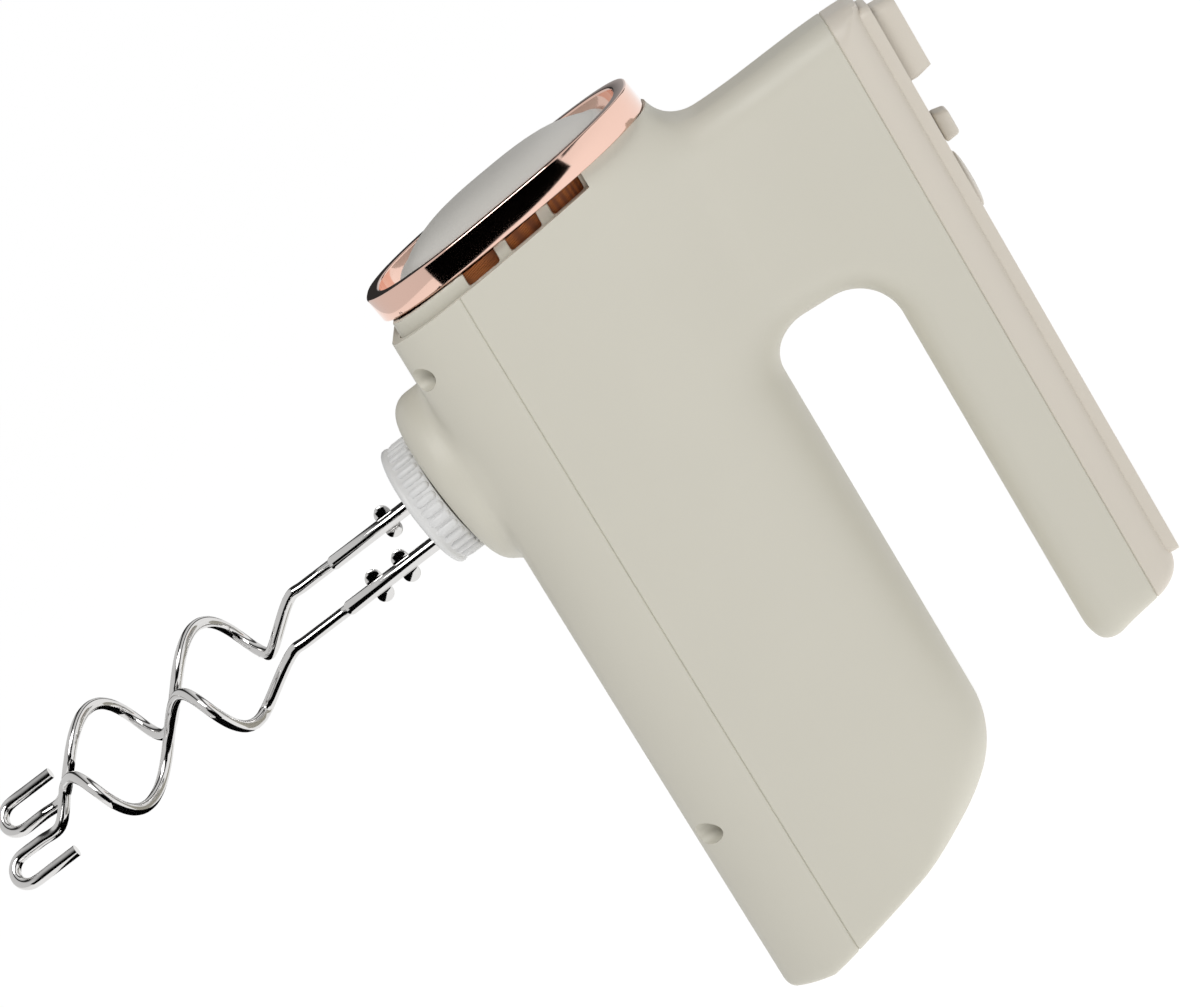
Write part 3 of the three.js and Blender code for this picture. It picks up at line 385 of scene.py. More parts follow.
def circuitBoard(name):
    f = Finish(name)
    tracks = f.add("ShaderNodeTexBrick", {}, {
        "Vector": f.stretched((1, 1, 1), (math.pi / 2, 0, 0)), "Scale": 150.0, "Mortar Size": 0.03},
        out="Fac")
    tone = f.blend(tracks, (0.02, 0.16, 0.06), (0.35, 0.22, 0.08))
    return f.close(tone, 0.4 + f.noise(300, 2) * 0.15, f.bump(tracks, 0.00005, 0.5))


def carbonBlock(name):
    f = Finish(name)
    speck = f.noise(1800, 3)
    return f.close(f.blend(speck, (0.015, 0.015, 0.016), (0.08, 0.08, 0.085)), 0.55 + speck * 0.2,
                   f.bump(speck, 0.00006, 0.6))


# Brown gauze behind the vents.
def gauze(name):
    f = Finish(name)
    weave = f.bands(620, "Z") * f.bands(620, "Y")
    tone = f.blend(weave, (0.28, 0.085, 0.02), (0.7, 0.24, 0.055))
    return f.close(tone, 0.55 + weave * 0.2, f.bump(weave, 0.0001, 0.6))


leanTurn = (0, math.radians(attitude["turn"] + leans["drive"]), 0)
paint = {
    "casing": mouldedPlastic("ivory soft-touch", (0.68, 0.655, 0.565), 0.46),
    "trim": mouldedPlastic("warm ivory satin", (0.72, 0.665, 0.58), 0.4),
    "panel": mouldedPlastic("pearl grey satin", (0.74, 0.72, 0.675), 0.38),
    "collar": mouldedPlastic("white nylon", (0.78, 0.78, 0.775), 0.42),
    "roseGold": polished("rose-gold plating", (0.88, 0.60, 0.50), 0.04, 0.000006),
    "chrome": polished("bright chrome plating", (0.72, 0.71, 0.70), 0.05),
    "steel": workedMetal("turned steel", (0.56, 0.57, 0.58), 0.3),
    "castMetal": workedMetal("die-cast alloy", (0.42, 0.43, 0.44), 0.5, (300, 300, 300), 0.00006),
    "brass": workedMetal("sintered bronze", (0.62, 0.42, 0.19), 0.35),
    "copper": windings("enamelled copper wire", (0.62, 0.24, 0.09), 520, leanTurn),
    "segments": windings("copper segments", (0.66, 0.3, 0.14), 260, (0, 0, 0)),
    "laminations": laminated("stacked steel sheets", leanTurn),
    "darkPlastic": mouldedPlastic("black polyamide", (0.025, 0.025, 0.027), 0.5, 0.00006),
    "gearPlastic": mouldedPlastic("natural acetal", (0.72, 0.68, 0.56), 0.35),
    "board": circuitBoard("printed circuit board"),
    "carbon": carbonBlock("pressed carbon"),
    "gauze": gauze("brown gauze"),
}
print("materials made")


# ------- shells

shell = {
    "length": 194.3, "top": 57.0, "noseRise": 3.0, "depth": 21.3, "lowerDepth": 27.0,
    "halfWidth": 34.0, "tailTaper": 4.5, "upperPower": 2.6, "lowerPower": 2.2,
    "tailX": 197.2, "wall": 2.4, "gap": 0.3, "recessTopZ": 40.0,
    "handleTop": 117.2, "handleUnder": 89.6, "handleHalf": 15.3, "handleSeam": 108.6,
    "neckFront": -5.6, "gapFront": 50.3, "neckBlend": 13.0, "bossRadius": 25.3,
    "bossDrop": 9.0, "bossRound": 6.0, "bossBlend": 3.0, "voxel": 1.1,
    "grooveWidth": 0.3, "parting": 0.04, "frontCap": -28.0,
    "spindleHole": 6.2, "leadHole": 4.5, "leadZ": -11.5,
}


def casingSection(x, y, z, inset):
    s = shell
    half = s["halfWidth"] - s["tailTaper"] * ((x - 60) / 135) ** 2
    top = s["top"] + s["noseRise"] * np.clip((40 - x) / 50, 0, 1.1) ** 2
    power = np.where(z > 0, s["upperPower"], s["lowerPower"])
    height = np.where(z > 0, top, s["lowerDepth"])
    ay, az = np.abs(y) / half, np.abs(z) / height
    r = np.maximum((ay ** power + az ** power) ** (1 / power), 0.02)
    slope = r ** (1 - power) * np.hypot(ay ** (power - 1) / half, az ** (power - 1) / height)
    return (r - 1) / np.maximum(slope, 1e-3) + inset


def gripRule(x, y, z, inset):
    s = shell
    front = s["neckFront"] - 4.4 * smoothStep(z, 64, 117)
    neck = np.maximum(front - x, x - s["gapFront"])
    bar = np.maximum(np.maximum(s["handleUnder"] - z, z - s["handleTop"]), front - x)
    side = np.where(x > 25, roundJoin(neck, bar, s["neckBlend"]), np.minimum(neck, bar)) + inset
    side = np.maximum(side, 30 - z)
    width = np.abs(y) - s["handleHalf"] - 3.2 * smoothStep(-z, -84, -50) + inset
    return roundMeet(np.maximum(side, z - s["handleTop"] + inset), width, 8.0)


def bossRule(x, y, z, inset):
    a = math.radians(leans["drive"])
    c, s = math.cos(a), math.sin(a)
    dx, dz = x - driveFoot[0], z - driveFoot[2]
    along, up = dx * c + dz * s, dz * c - dx * s
    side = np.hypot(along, y) - shell["bossRadius"] + inset
    face = -up - shell["bossDrop"] + inset
    return np.maximum(roundMeet(side, face, shell["bossRound"]), up - 8)


def shellRule(inset=0.0, openFront=0.0):
    s = shell
    cosHeel = math.cos(math.radians(leans["heel"]))

    def rule(x, y, z):
        body = roundMeet(casingSection(x, y, z, inset), -z - s["depth"] + inset, 2.2)
        body = roundJoin(body, bossRule(x, y, z, inset), s["bossBlend"])
        body = roundJoin(body, gripRule(x, y, z, inset), s["neckBlend"] - 1)
        front = s["frontCap"] - x - openFront
        heel = (x - s["length"] + tanHeel * z) * cosHeel
        heel = np.maximum(heel, x - s["tailX"]) + inset
        corner = 3 + 13 * smoothStep(z, 22, 48) - 8 * smoothStep(z, 84, 92) - 3.5 * smoothStep(z, 98, 112)
        return np.maximum(roundMeet(body, heel, corner), front)
    return rule


# V groove around a seam, cut where its outline meets the outer skin.
def seamGroove(rule, z, centreX, reach):
    angles = np.linspace(0, 2 * math.pi, 360, endpoint=False)
    near, far = np.zeros_like(angles), np.full_like(angles, reach)
    for _ in range(26):
        middle = (near + far) / 2
        inside = rule(centreX + middle * np.cos(angles), middle * np.sin(angles), np.full_like(angles, z)) < 0
        near, far = np.where(inside, middle, near), np.where(inside, far, middle)
    edge = np.stack([centreX + near * np.cos(angles), near * np.sin(angles)], 1)
    along = np.roll(edge, -1, 0) - np.roll(edge, 1, 0)
    out = np.stack([along[:, 1], -along[:, 0]], 1) / np.linalg.norm(along, axis=1)[:, None]
    w = shell["grooveWidth"]
    profile = [(-w, 0.0), (w, -2 * w), (w, 2 * w)]
    return lofted("groove", [[(p[0] + n[0] * d, p[1] + n[1] * d, z + h) for d, h in profile]
                             for p, n in zip(edge, out)], wrap=True)


screws = {"x": (13.8, 148.6), "across": 25.5, "seatZ": -9.0, "pocket": 3.1, "post": 4.9, "bore": 1.8}
spindles = {"left": (7.4, -11.0), "right": (-0.4, 11.0)}
# ejector: front, back, half width; slider: its travel; turbo: place and radius
controls = {"ejector": (-5.9, 14.5, 7.6), "slider": (20.6, 28.6), "turbo": (43.5, 7.7),
            "stem": 2.2, "room": 0.5}
screwSpots = [(x, y) for x in screws["x"] for y in (-screws["across"], screws["across"])]
away = 400.0


# The casing is cut square behind the ring: at the shoulder below, close to the ring above.
def noseCutters():
    bottom, middle, top, ahead = -60, shell["recessTopZ"], 130, -80
    back = noseBack["recess"] - shell["gap"]
    outlines = (((-tanFace * bottom, bottom), (-tanFace * middle, middle), (ahead, middle), (ahead, bottom)),
                ((-tanFace * middle - back, middle - 1), (-tanFace * top - back, top), (ahead, top),
                 (ahead, middle - 1)))
    return [lofted("tool", [[(x, y, z) for x, z in outline] for y in (-60, 60)]) for outline in outlines]


# Counterbores, spindle holes and the hole for the lead.
def openLower(lower):
    s = shell
    carve(lower, *[rod(screws["pocket"], -60, screws["seatZ"], spot) for spot in screwSpots],
          *[rod(screws["bore"], screws["seatZ"] - 1, 1, spot) for spot in screwSpots],
          *[placed(rod(s["spindleHole"], -30, 4, spot), fromDrive) for spot in spindles.values()],
          placed(rod(s["leadHole"], -12, 6), Matrix.Translation((s["tailX"], 0, s["leadZ"]))
                 @ Matrix.Rotation(math.pi / 2, 4, "Y")))


# Openings under the ejector, the slider and the turbo button.
def openCover(cover):
    x0, x1, w = controls["ejector"]
    s0, s1 = controls["slider"]
    under, over = shell["handleTop"] - 8, shell["handleTop"] + 8
    room, stem = controls["room"], controls["room"] + controls["stem"]
    carve(cover, block((x0 - room, -w - room, under), (x1 + room, w + room, over)),
          block((s0 - stem, -stem, under), (s1 + stem, stem, over)),
          placed(rod(stem + 0.1, under, over), Matrix.Translation((controls["turbo"][0], 0, 0))))


def makeShells():
    s = shell
    low, high, step = (-32, -38, -40), (202, 38, 121), s["voxel"]
    outerRule = shellRule()
    outer = skinOf("outer", outerRule, low, high, step)
    carve(outer, *noseCutters(), seamGroove(outerRule, 0.0, 95, 160),
          seamGroove(outerRule, s["handleSeam"], 75, 130))
    posts = [rod(screws["post"], -s["depth"] - 5, -s["parting"] - 0.1, spot) for spot in screwSpots]
    posts = carve(carve(*posts, how="UNION"), copyOf(outer, "whole"), how="INTERSECT")
    inner = skinOf("inner", shellRule(s["wall"], 8), (-40, -38, -40), high, step * 1.3)
    walls = carve(outer, inner)
    half = s["parting"] / 2

    def part(name, z0, z1):
        return carve(copyOf(walls, name), block((-away, -away, z0), (away, away, z1)), how="INTERSECT")

    lower = part("casing_lower", -away, -half)
    main = part("casing_upper", half, s["handleSeam"] - half)
    cover = part("grip_cover", s["handleSeam"] + half, away)
    bpy.data.objects.remove(walls)
    carve(lower, posts, how="UNION")
    openLower(lower)
    openCover(cover)
    finished(main, "housing", "casing", paint["casing"], "main_housing")
    finished(lower, "housing", "casing", paint["casing"], "bottom_cover")
    finished(cover, "housing", "handle_trim", paint["trim"], "handle_cover")


makeShells()


# ------- nose: ring, panel and grille

ring = {"halfWidth": 32.0, "halfHeight": 41.5, "depth": 7.0, "band": 4.0, "web": 1.6, "throat": 9.2,
        "power": 2.7, "edge": 0.55, "steps": 256}


def ringOutline(inset, across=1.0, up=1.0):
    a = np.linspace(0, 2 * math.pi, ring["steps"], endpoint=False)
    bend = lambda v: np.sign(v) * np.abs(v) ** (2 / ring["power"])
    return np.stack([(ring["halfWidth"] - inset) * across * bend(np.cos(a)),
                     (ring["halfHeight"] - inset) * up * bend(np.sin(a))], 1)


def arc(cx, cy, r, start, end, steps=4):
    return [(cx + r * math.cos(math.radians(start + (end - start) * k / steps)),
             cy + r * math.sin(math.radians(start + (end - start) * k / steps))) for k in range(steps + 1)]


def makeRing():
    r = ring
    e, d, b = r["edge"], r["depth"], r["band"]
    # section as (inset from the outer wall, distance from the back)
    section = (arc(e, e, e, 270, 180) + arc(e, d - e, e, 180, 90) + arc(b - e, d - e, e, 90, 0)
               + [(b, r["web"] + 0.3), (b + 0.3, r["web"]), (r["throat"], r["web"]), (r["throat"], 0)])
    outlines = [(ringOutline(inset), depth) for inset, depth in section]
    rings = [[(o[i][0], o[i][1], depth) for o, depth in outlines] for i in range(r["steps"])]
    piece = placed(lofted("nose_bezel", rings, wrap=True), fromNose)
    finished(piece, "housing", "rose_gold", paint["roseGold"], "nose_ring", crease=50)


makeRing()

dome = {"inset": 4.2, "base": 1.9, "lip": 5.9, "crown": 5.2, "flatness": 3.4, "sideSlope": 0.05,
        "endScale": 0.91, "endSlope": 0.12, "levels": 14}


def makeNosePanel():
    d = dome
    rings = [[(x, y, d["base"] - 0.2) for x, y in ringOutline(d["inset"], 1.0, d["endScale"])]]
    for k in range(d["levels"] + 1):
        t = k / d["levels"]
        across, up = 1 - d["sideSlope"] * t ** 2, d["endScale"] * (1 - d["endSlope"] * t ** 1.3)
        outline = ringOutline(d["inset"], across, up)
        height = d["base"] + (d["lip"] - d["base"]) * math.sin(t * math.pi / 2)
        rings.append([(x, y, height) for x, y in outline])
    edge = np.array(rings[-1])
    for k in range(1, 12):
        t = k / 12
        level = edge.copy()
        level[:, :2] *= 1 - t
        level[:, 2] = d["lip"] + d["crown"] * (1 - (1 - t) ** d["flatness"])
        rings.append([tuple(p) for p in level])
    piece = placed(lofted("nose_dome", rings), fromNose)
    finished(piece, "housing", "nose_panel", paint["panel"], "nose_panel", crease=60)


makeNosePanel()

grille = {"inset": 2.7, "thick": 2.2, "front": -3.9, "back": 6.0, "top": 53.0, "voxel": 0.5,
          "vents": (8.0, 21.0, 34.0), "ventLength": 9.6, "slotFront": -4.6, "slotBack": -0.1, "corner": 0.9}


def grilleRule(x, y, z):
    g = grille
    skin = casingSection(x, y, z, g["inset"])
    skin = roundMeet(skin, -z - shell["depth"] + g["inset"], 2.0)
    band = np.maximum(skin, -skin - g["thick"])
    along = x + tanFace * z
    band = roundMeet(band, np.maximum(g["front"] - along, along - g["back"]), 0.2)
    band = np.maximum(band, z - g["top"])
    for height in g["vents"]:
        middle = (g["slotFront"] + g["slotBack"]) / 2
        half = (g["slotBack"] - g["slotFront"]) / 2
        slot = np.maximum(roundBox(along - middle, z - height, half, g["ventLength"] / 2, g["corner"]),
                          12 - np.abs(y))
        band = np.maximum(band, -slot)
    return band


def makeGrille():
    piece = skinOf("vent_band", grilleRule, (-18, -33, -22), (12, 33, 55), grille["voxel"])
    finished(piece, "housing", "casing", paint["casing"], "vent_grille", crease=40)


makeGrille()


# ------- controls on the handle

plate = {"x0": -7.5, "half": 11.0, "bottom": 116.0, "top": 119.5, "tailGap": 4.0, "edge": 0.45,
         "room": 0.4, "stemLow": 113.6}


def makePlate():
    p, room, stem = plate, plate["room"], controls["stem"]
    x1 = shell["length"] - tanHeel * p["top"] - p["tailGap"]
    piece = prism("switch_plate", roundedPlan(p["x0"], x1, p["half"], (3, 3, 3, 3)), p["bottom"], p["top"])
    e0, e1, w = controls["ejector"]
    s0, s1 = controls["slider"]
    turboX, turboRadius = controls["turbo"]
    under, over = 110, 130
    carve(piece, block((e0 - room, -w - room, under), (e1 + room, w + room, over)),
          block((s0 - stem - room, -stem - room, under), (s1 + stem + room, stem + room, over)),
          placed(rod(turboRadius + room, under, over), Matrix.Translation((turboX, 0, 0))))
    softened(piece, p["edge"], 2)
    finished(piece, "housing", "handle_trim", paint["trim"], "switch_panel", crease=30)


ejectorSizes = {"low": 113.2, "top": 125.7, "corners": (3.5, 1.6, 1.6, 3.5), "slopeFrom": 2.6, "edge": 1.1}


# Large button, sloped down towards the tail.
def makeEjector():
    b = ejectorSizes
    e0, e1, w = controls["ejector"]
    button = prism("beater_release", roundedPlan(e0, e1, w, b["corners"]), b["low"], b["top"])
    corners = ((e1 - b["slopeFrom"], 130), (e1 + 9, 130), (e1 + 0.4, plate["top"] + 0.2))
    wedge = makePiece("tool", [(x, y, z) for x, z in corners for y in (-20, 20)], [])
    hull = bmesh.new()
    hull.from_mesh(wedge.data)
    bmesh.ops.convex_hull(hull, input=hull.verts)
    hull.to_mesh(wedge.data)
    hull.free()
    carve(button, outward(wedge))
    softened(button, b["edge"], 4)
    finished(button, "ejector", "handle_trim", paint["trim"], "ejector_button", crease=40)


knobSizes = {"half": 4.0, "halfWidth": 5.0, "rise": 4.0, "corner": 1.4, "taper": 0.84, "edge": 0.8}


def makeSlider():
    k, x, stem = knobSizes, controls["slider"][1], controls["stem"]
    seat = plate["top"] + 0.3
    plan = roundedPlan(x - k["half"], x + k["half"], k["halfWidth"], (k["corner"],) * 4)
    knob = prism("speed_slider", plan, seat, seat + k["rise"])
    for point in knob.data.vertices:
        if point.co.z > seat + 1:
            point.co.x = x + (point.co.x - x) * k["taper"]
    softened(knob, k["edge"], 3, 30)
    carve(knob, block((x - stem, -stem, plate["stemLow"]), (x + stem, stem, seat + 1)), how="UNION")
    finished(knob, "speed_knob", "handle_trim", paint["trim"], "speed_knob", crease=40)


# Low domed button; its underside stays above the handle when it is pressed.
def makeTurbo():
    (x, r), stem, top = controls["turbo"], controls["stem"], plate["top"]
    rise = [(r * math.cos(a), top + 0.5 + 1.1 * math.sin(a)) for a in np.linspace(0.12, 1.5, 10)]
    profile = [(stem, plate["stemLow"]), (stem, 119.2), (r - 0.4, 119.3), (r, 119.6), (r, top + 0.5)] + rise
    cap = placed(turned("turbo_cap", profile, 72), Matrix.Translation((x, 0, 0)))
    finished(cap, "turbo_button", "handle_trim", paint["trim"], "turbo_button", crease=40)


makePlate()
makeEjector()
makeSlider()
makeTurbo()


# ------- geometry nodes

class Nodes:
    def __init__(self, name, sizes):
        self.tree = bpy.data.node_groups.new(name, "GeometryNodeTree")
        face = self.tree.interface
        face.new_socket("Geometry", in_out="OUTPUT", socket_type="NodeSocketGeometry")
        face.new_socket("Geometry", in_out="INPUT", socket_type="NodeSocketGeometry")
        kinds = {int: "NodeSocketInt", float: "NodeSocketFloat"}
        for label, value in sizes.items():
            face.new_socket(label, in_out="INPUT", socket_type=kinds.get(type(value), "NodeSocketObject"))
        self.sizes = sizes
        self.entry = self.tree.nodes.new("NodeGroupInput")

    def given(self, label):
        return Wire(self.tree, self.entry.outputs[label])

    def add(self, kind, settings=None, values=None, out=0):
        return addNode(self.tree, kind, settings, values, out)

    # Ends in real faces with one material, then the modifier's result replaces the mesh.
    def run(self, piece, shape, material):
        shape = self.add("GeometryNodeRealizeInstances", {}, {0: shape})
        shape = self.add("GeometryNodeSetMaterial", {}, {"Geometry": shape, "Material": material})
        exitNode = self.tree.nodes.new("NodeGroupOutput")
        self.tree.links.new(shape.socket, exitNode.inputs[0])
        made = piece.modifiers.new(self.tree.name, "NODES")
        made.node_group = self.tree
        for item in self.tree.interface.items_tree:
            if item.in_out == "INPUT" and item.name in self.sizes:
                made[item.identifier] = self.sizes[item.name]
        return settleModifiers(piece)


# Round wire or tube along a run of edges.
def wireAlong(name, points, radius, sides, material):
    piece = makePiece(name, points, [])
    line = bmesh.new()
    line.from_mesh(piece.data)
    line.verts.ensure_lookup_table()
    for i in range(len(points) - 1):
        line.edges.new((line.verts[i], line.verts[i + 1]))
    line.to_mesh(piece.data)
    line.free()
    n = Nodes("wire along a run", {"Wire Radius": float(radius), "Sides": int(sides)})
    run = n.add("GeometryNodeMeshToCurve", {}, {0: n.given("Geometry")})
    ringShape = n.add("GeometryNodeCurvePrimitiveCircle", {}, {
        "Resolution": n.given("Sides"), "Radius": n.given("Wire Radius")})
    tube = n.add("GeometryNodeCurveToMesh", {}, {"Curve": run, "Profile Curve": ringShape, "Fill Caps": True})
    return outward(n.run(piece, tube, material))


collar = {"halfX": 16.9, "halfY": 22.0, "height": 8.3, "ribs": 34, "ribHeight": 0.9, "ribRadius": 1.15,
          "top": -9.3, "bore": 4.2}


def makeCollar():
    c = collar
    high, low = c["top"], c["top"] - c["height"]
    proud = c["ribHeight"]
    levels = [(high, -proud - 0.5), (high - 0.4, -proud - 0.1), (high - 0.8, -proud), (low + 2.6, -proud),
              (low + 1.7, -0.15), (low + 1.2, 0.0), (low + 0.6, -0.05), (low + 0.2, -0.35), (low, -0.9)]
    a = np.linspace(0, 2 * math.pi, 160, endpoint=False)
    rings = [[((c["halfX"] + out) * math.cos(t), (c["halfY"] + out) * math.sin(t), z) for t in a]
             for z, out in levels]
    body = lofted("collar_body", rings)
    bores = [rod(c["bore"], low - 2, high + 2, spot, 40) for spot in spindles.values()]
    carve(body, *bores)
    finished(placed(body, fromDrive), "housing", "collar", paint["collar"], "spindle_collar", crease=40)

    # one rib, round in section and sunk into the wall, tapering out before the rim
    profile = [(0.3, high - 0.3), (0.8, high - 0.6), (1.0, high - 1.1), (1.0, low + 3.6), (0.85, low + 2.6),
               (0.5, low + 1.9)]
    rib = turned("rib", [(r * c["ribRadius"], z) for r, z in profile], 14)
    seed = makePiece("collar_ribs", [(0, 0, 0)], [])
    n = Nodes("ribs round an oval", {"Half Length": c["halfX"] - 1.15, "Half Width": c["halfY"] - 1.15,
                                     "Ribs": c["ribs"], "Rib": rib})
    spots = n.add("GeometryNodePoints", {}, {"Count": n.given("Ribs")})
    turn = n.add("GeometryNodeInputIndex") * (2 * math.pi) / n.given("Ribs")
    place = n.add("ShaderNodeCombineXYZ", {}, {
        0: turn.maths("COSINE", turn) * n.given("Half Length"),
        1: turn.maths("SINE", turn) * n.given("Half Width")})
    spots = n.add("GeometryNodeSetPosition", {}, {"Geometry": spots, "Position": place})
    source = n.add("GeometryNodeObjectInfo", {}, {"Object": n.given("Rib")}, out="Geometry")
    ribs = n.add("GeometryNodeInstanceOnPoints", {}, {"Points": spots, "Instance": source})
    n.run(seed, ribs, paint["collar"])
    bpy.data.objects.remove(rib)
    finished(placed(seed, fromDrive), "housing", "collar", paint["collar"], crease=60)


makeCollar()


def makeScrews():
    head = turned("head", [(1.45, 10.4), (1.45, 0.2), (2.2, 0.0), (2.55, -0.5), (2.5, -1.2), (2.1, -1.7)], 32)
    for turn in (0, math.pi / 2):
        slot = placed(block((-1.5, -0.35, -3), (1.5, 0.35, -0.7)), Matrix.Rotation(turn, 4, "Z"))
        carve(head, slot)
    spots = makePiece("casing_screws", [(x, y, screws["seatZ"] - 0.1) for x, y in screwSpots], [])
    n = Nodes("screws at points", {"Screw": head})
    source = n.add("GeometryNodeObjectInfo", {}, {"Object": n.given("Screw")}, out="Geometry")
    placedScrews = n.add("GeometryNodeInstanceOnPoints", {}, {
        "Points": n.given("Geometry"), "Instance": source})
    n.run(spots, placedScrews, paint["steel"])
    bpy.data.objects.remove(head)
    finished(spots, "housing", "steel", paint["steel"],
             "cover_screw_1", "cover_screw_2", "cover_screw_3", "cover_screw_4")


makeScrews()


# ------- dough hooks

hookSizes = {
    "base": -21.1, "wire": 1.55, "shank": 1.95, "shankEnd": 25.0, "top": 33.0, "radius": 8.6,
    "pitch": 35.0, "skew": 2.9, "end": 134.3, "lugRadius": 2.3, "lugHalf": 0.6,
    "left": {"mirror": -1, "bend": 42.5, "first": -0.35, "start": 60.0, "last": 3.3,
             "legs": ((0.0, 2.6), (6.4, -3.0)), "lugs": (7.0, 15.3)},
    "right": {"mirror": 1, "bend": 38.5, "first": 0.0, "start": 52.0, "last": 3.45,
              "legs": ((5.8, -2.6), (-0.8, 3.0)), "lugs": (7.0,)},
}


# Evenly eased curve through the points, tighter where they are close.
def smoothRun(points, perSpan):
    p = np.array(points, float)
    p = np.vstack([2 * p[0] - p[1], p, 2 * p[-1] - p[-2]])
    run = []
    for a, b, c, d in zip(p, p[1:], p[2:], p[3:]):
        t = np.cumsum([0] + [max(np.linalg.norm(v - u), 1e-4) ** 0.5 for u, v in ((a, b), (b, c), (c, d))])
        for k in np.linspace(t[1], t[2], perSpan, endpoint=False):
            mix = lambda u, v, i, j: ((t[j] - k) * u + (k - t[i]) * v) / (t[j] - t[i])
            ab, bc, cd = mix(a, b, 0, 1), mix(b, c, 1, 2), mix(c, d, 2, 3)
            run.append(mix(mix(ab, bc, 0, 2), mix(bc, cd, 1, 3), 1, 2))
    return run + [p[-2]]


def hookPath(side):
    h, own = hookSizes, hookSizes[side]
    x, y = spindles[side]
    points = [(0, 0, -h["top"]), (0, 0, own["bend"] - 4), (0, 0, own["bend"])]
    t = own["first"]
    while t <= own["last"] * math.pi:
        points.append((h["radius"] * math.cos(t), own["mirror"] * h["radius"] * math.sin(t),
                       own["start"] + h["pitch"] * t / (2 * math.pi) + h["skew"] * (math.cos(t) - 1)))
        t += math.pi / 9
    (ax, ay), (bx, by) = own["legs"]
    hx, hy = (ax - bx) / 2, (ay - by) / 2
    radius = math.hypot(hx, hy)
    bend = h["end"] - radius
    points += [(ax, ay, 118), (ax, ay, 124)]
    for a in np.linspace(0, math.pi, 9):
        points.append(((ax + bx) / 2 + hx * math.cos(a), (ay + by) / 2 + hy * math.cos(a),
                       bend + radius * math.sin(a)))
    points += [(bx, by, bend - 6), (bx, by, 117)]
    return [(x + px, y + py, h["base"] - pz) for px, py, pz in points]


def makeHook(side):
    h, own = hookSizes, hookSizes[side]
    x, y = spindles[side]
    low = h["base"]
    wire = wireAlong(f"dough_hook_{side}", smoothRun(hookPath(side), 8), h["wire"], 18, paint["chrome"])
    r, w = h["shank"], h["wire"]
    foot, top = low - h["shankEnd"], low + h["top"]
    profile = [(w, foot - 0.5), (r - 0.15, foot), (r, foot + 0.4), (r, top - 0.4), (r - 0.4, top)]
    shank = placed(turned("shank", profile, 32), Matrix.Translation((x, y, 0)))
    lugs = []
    for down in own["lugs"]:
        for reach in (-h["lugRadius"], h["lugRadius"]):
            q, e = h["lugRadius"], h["lugHalf"]
            ear = turned("ear", [(q - 0.25, -e), (q, 0.2 - e), (q, e - 0.2), (q - 0.25, e)], 28)
            lugs.append(placed(ear, Matrix.Translation((x + reach, y, low - down))
                               @ Matrix.Rotation(math.pi / 2, 4, "X")))
    carve(wire, shank, *lugs, how="UNION")
    body = f"hook_{side}"
    finished(placed(wire, fromDrive), body, "bright_steel", paint["chrome"], body, crease=50)


for side in spindles:
    makeHook(side)


# ------- finishes for the solids kept from the frame

keptFinish = {
    "cord_gland": "darkPlastic", "stator_core": "laminations", "armature_core": "laminations",
    "field_coil_1": "copper", "field_coil_2": "copper", "commutator": "segments",
    "motor_bracket": "darkPlastic", "cooling_fan": "darkPlastic", "speed_switch": "darkPlastic",
    "turbo_switch": "darkPlastic", "control_board": "board", "vent_screen": "gauze",
    "motor_bolt_1": "steel", "motor_bolt_2": "steel", "ejector_spring": "steel", "motor_shaft": "steel",
    "spindle_sleeve_left": "steel", "spindle_sleeve_right": "steel",
    "carbon_brush_1": "carbon", "carbon_brush_2": "carbon", "brush_holder_1": "brass",
    "brush_holder_2": "brass", "bearing_front": "brass", "bearing_rear": "brass",
    "spindle_bush_left": "brass", "spindle_bush_right": "brass", "gear_frame": "castMetal",
    "ejector_yoke": "gearPlastic", "worm_wheel_left": "gearPlastic", "worm_wheel_right": "gearPlastic",
}
for name, finish in keptFinish.items():
    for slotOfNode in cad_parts[name].material_slots:
        slotOfNode.material = paint[finish]
print("finishes given to", len(keptFinish), "kept solids")


# ------- studio

studio = {
    "azimuth": 12.0, "elevation": 5.07, "roll": 59.71, "distance": 1000.0, "lens": 119.64,
    "aim": (67.73, 0.0, 0.06), "backdrop": 1.0, "floorGlow": 1.25, "surround": 0.27,
    "key": 21.0, "top": 12.0, "fill": 5.0,
    "tent": ((0.0, 0.75), (0.3, 0.7), (0.34, 0.03), (0.44, 0.03), (0.5, 0.55), (0.68, 0.9), (0.7, 0.06),
             (0.78, 0.06), (0.82, 1.1), (1.0, 1.0)),
}


def facing(azimuth, elevation):
    a, e = math.radians(azimuth), math.radians(elevation)
    return Vector((-math.sin(a) * math.cos(e), -math.cos(a) * math.cos(e), math.sin(e)))


def makeCamera():
    s = studio
    back = facing(s["azimuth"], s["elevation"])
    right = Vector((0, 0, 1)).cross(back).normalized()
    up = back.cross(right)
    roll = math.radians(s["roll"])
    right, up = (right * math.cos(roll) + up * math.sin(roll), up * math.cos(roll) - right * math.sin(roll))
    turn = stand.to_3x3() * 1000
    camera = bpy.data.objects.new("camera", bpy.data.cameras.new("camera"))
    camera.data.lens, camera.data.sensor_width = s["lens"], 36
    camera.data.clip_start, camera.data.clip_end = 0.01, 50
    bpy.context.scene.collection.objects.link(camera)
    axes = Matrix([turn @ right, turn @ up, turn @ back]).transposed().to_4x4()
    spot = stand @ (Vector(s["aim"]) + back * s["distance"])
    camera.matrix_world = Matrix.Translation(spot) @ axes
    bpy.context.scene.camera = camera


# Card or light at a distance in a direction of the working attitude, turned towards the mixer.
def aimed(thing, direction, distance, aim=(80, 0, 40)):
    turn = stand.to_3x3() * 1000
    way = (turn @ Vector(direction)).normalized()
    thing.location = stand @ Vector(aim) + way * distance
    thing.rotation_euler = way.to_track_quat("Z", "Y").to_euler()
    return thing


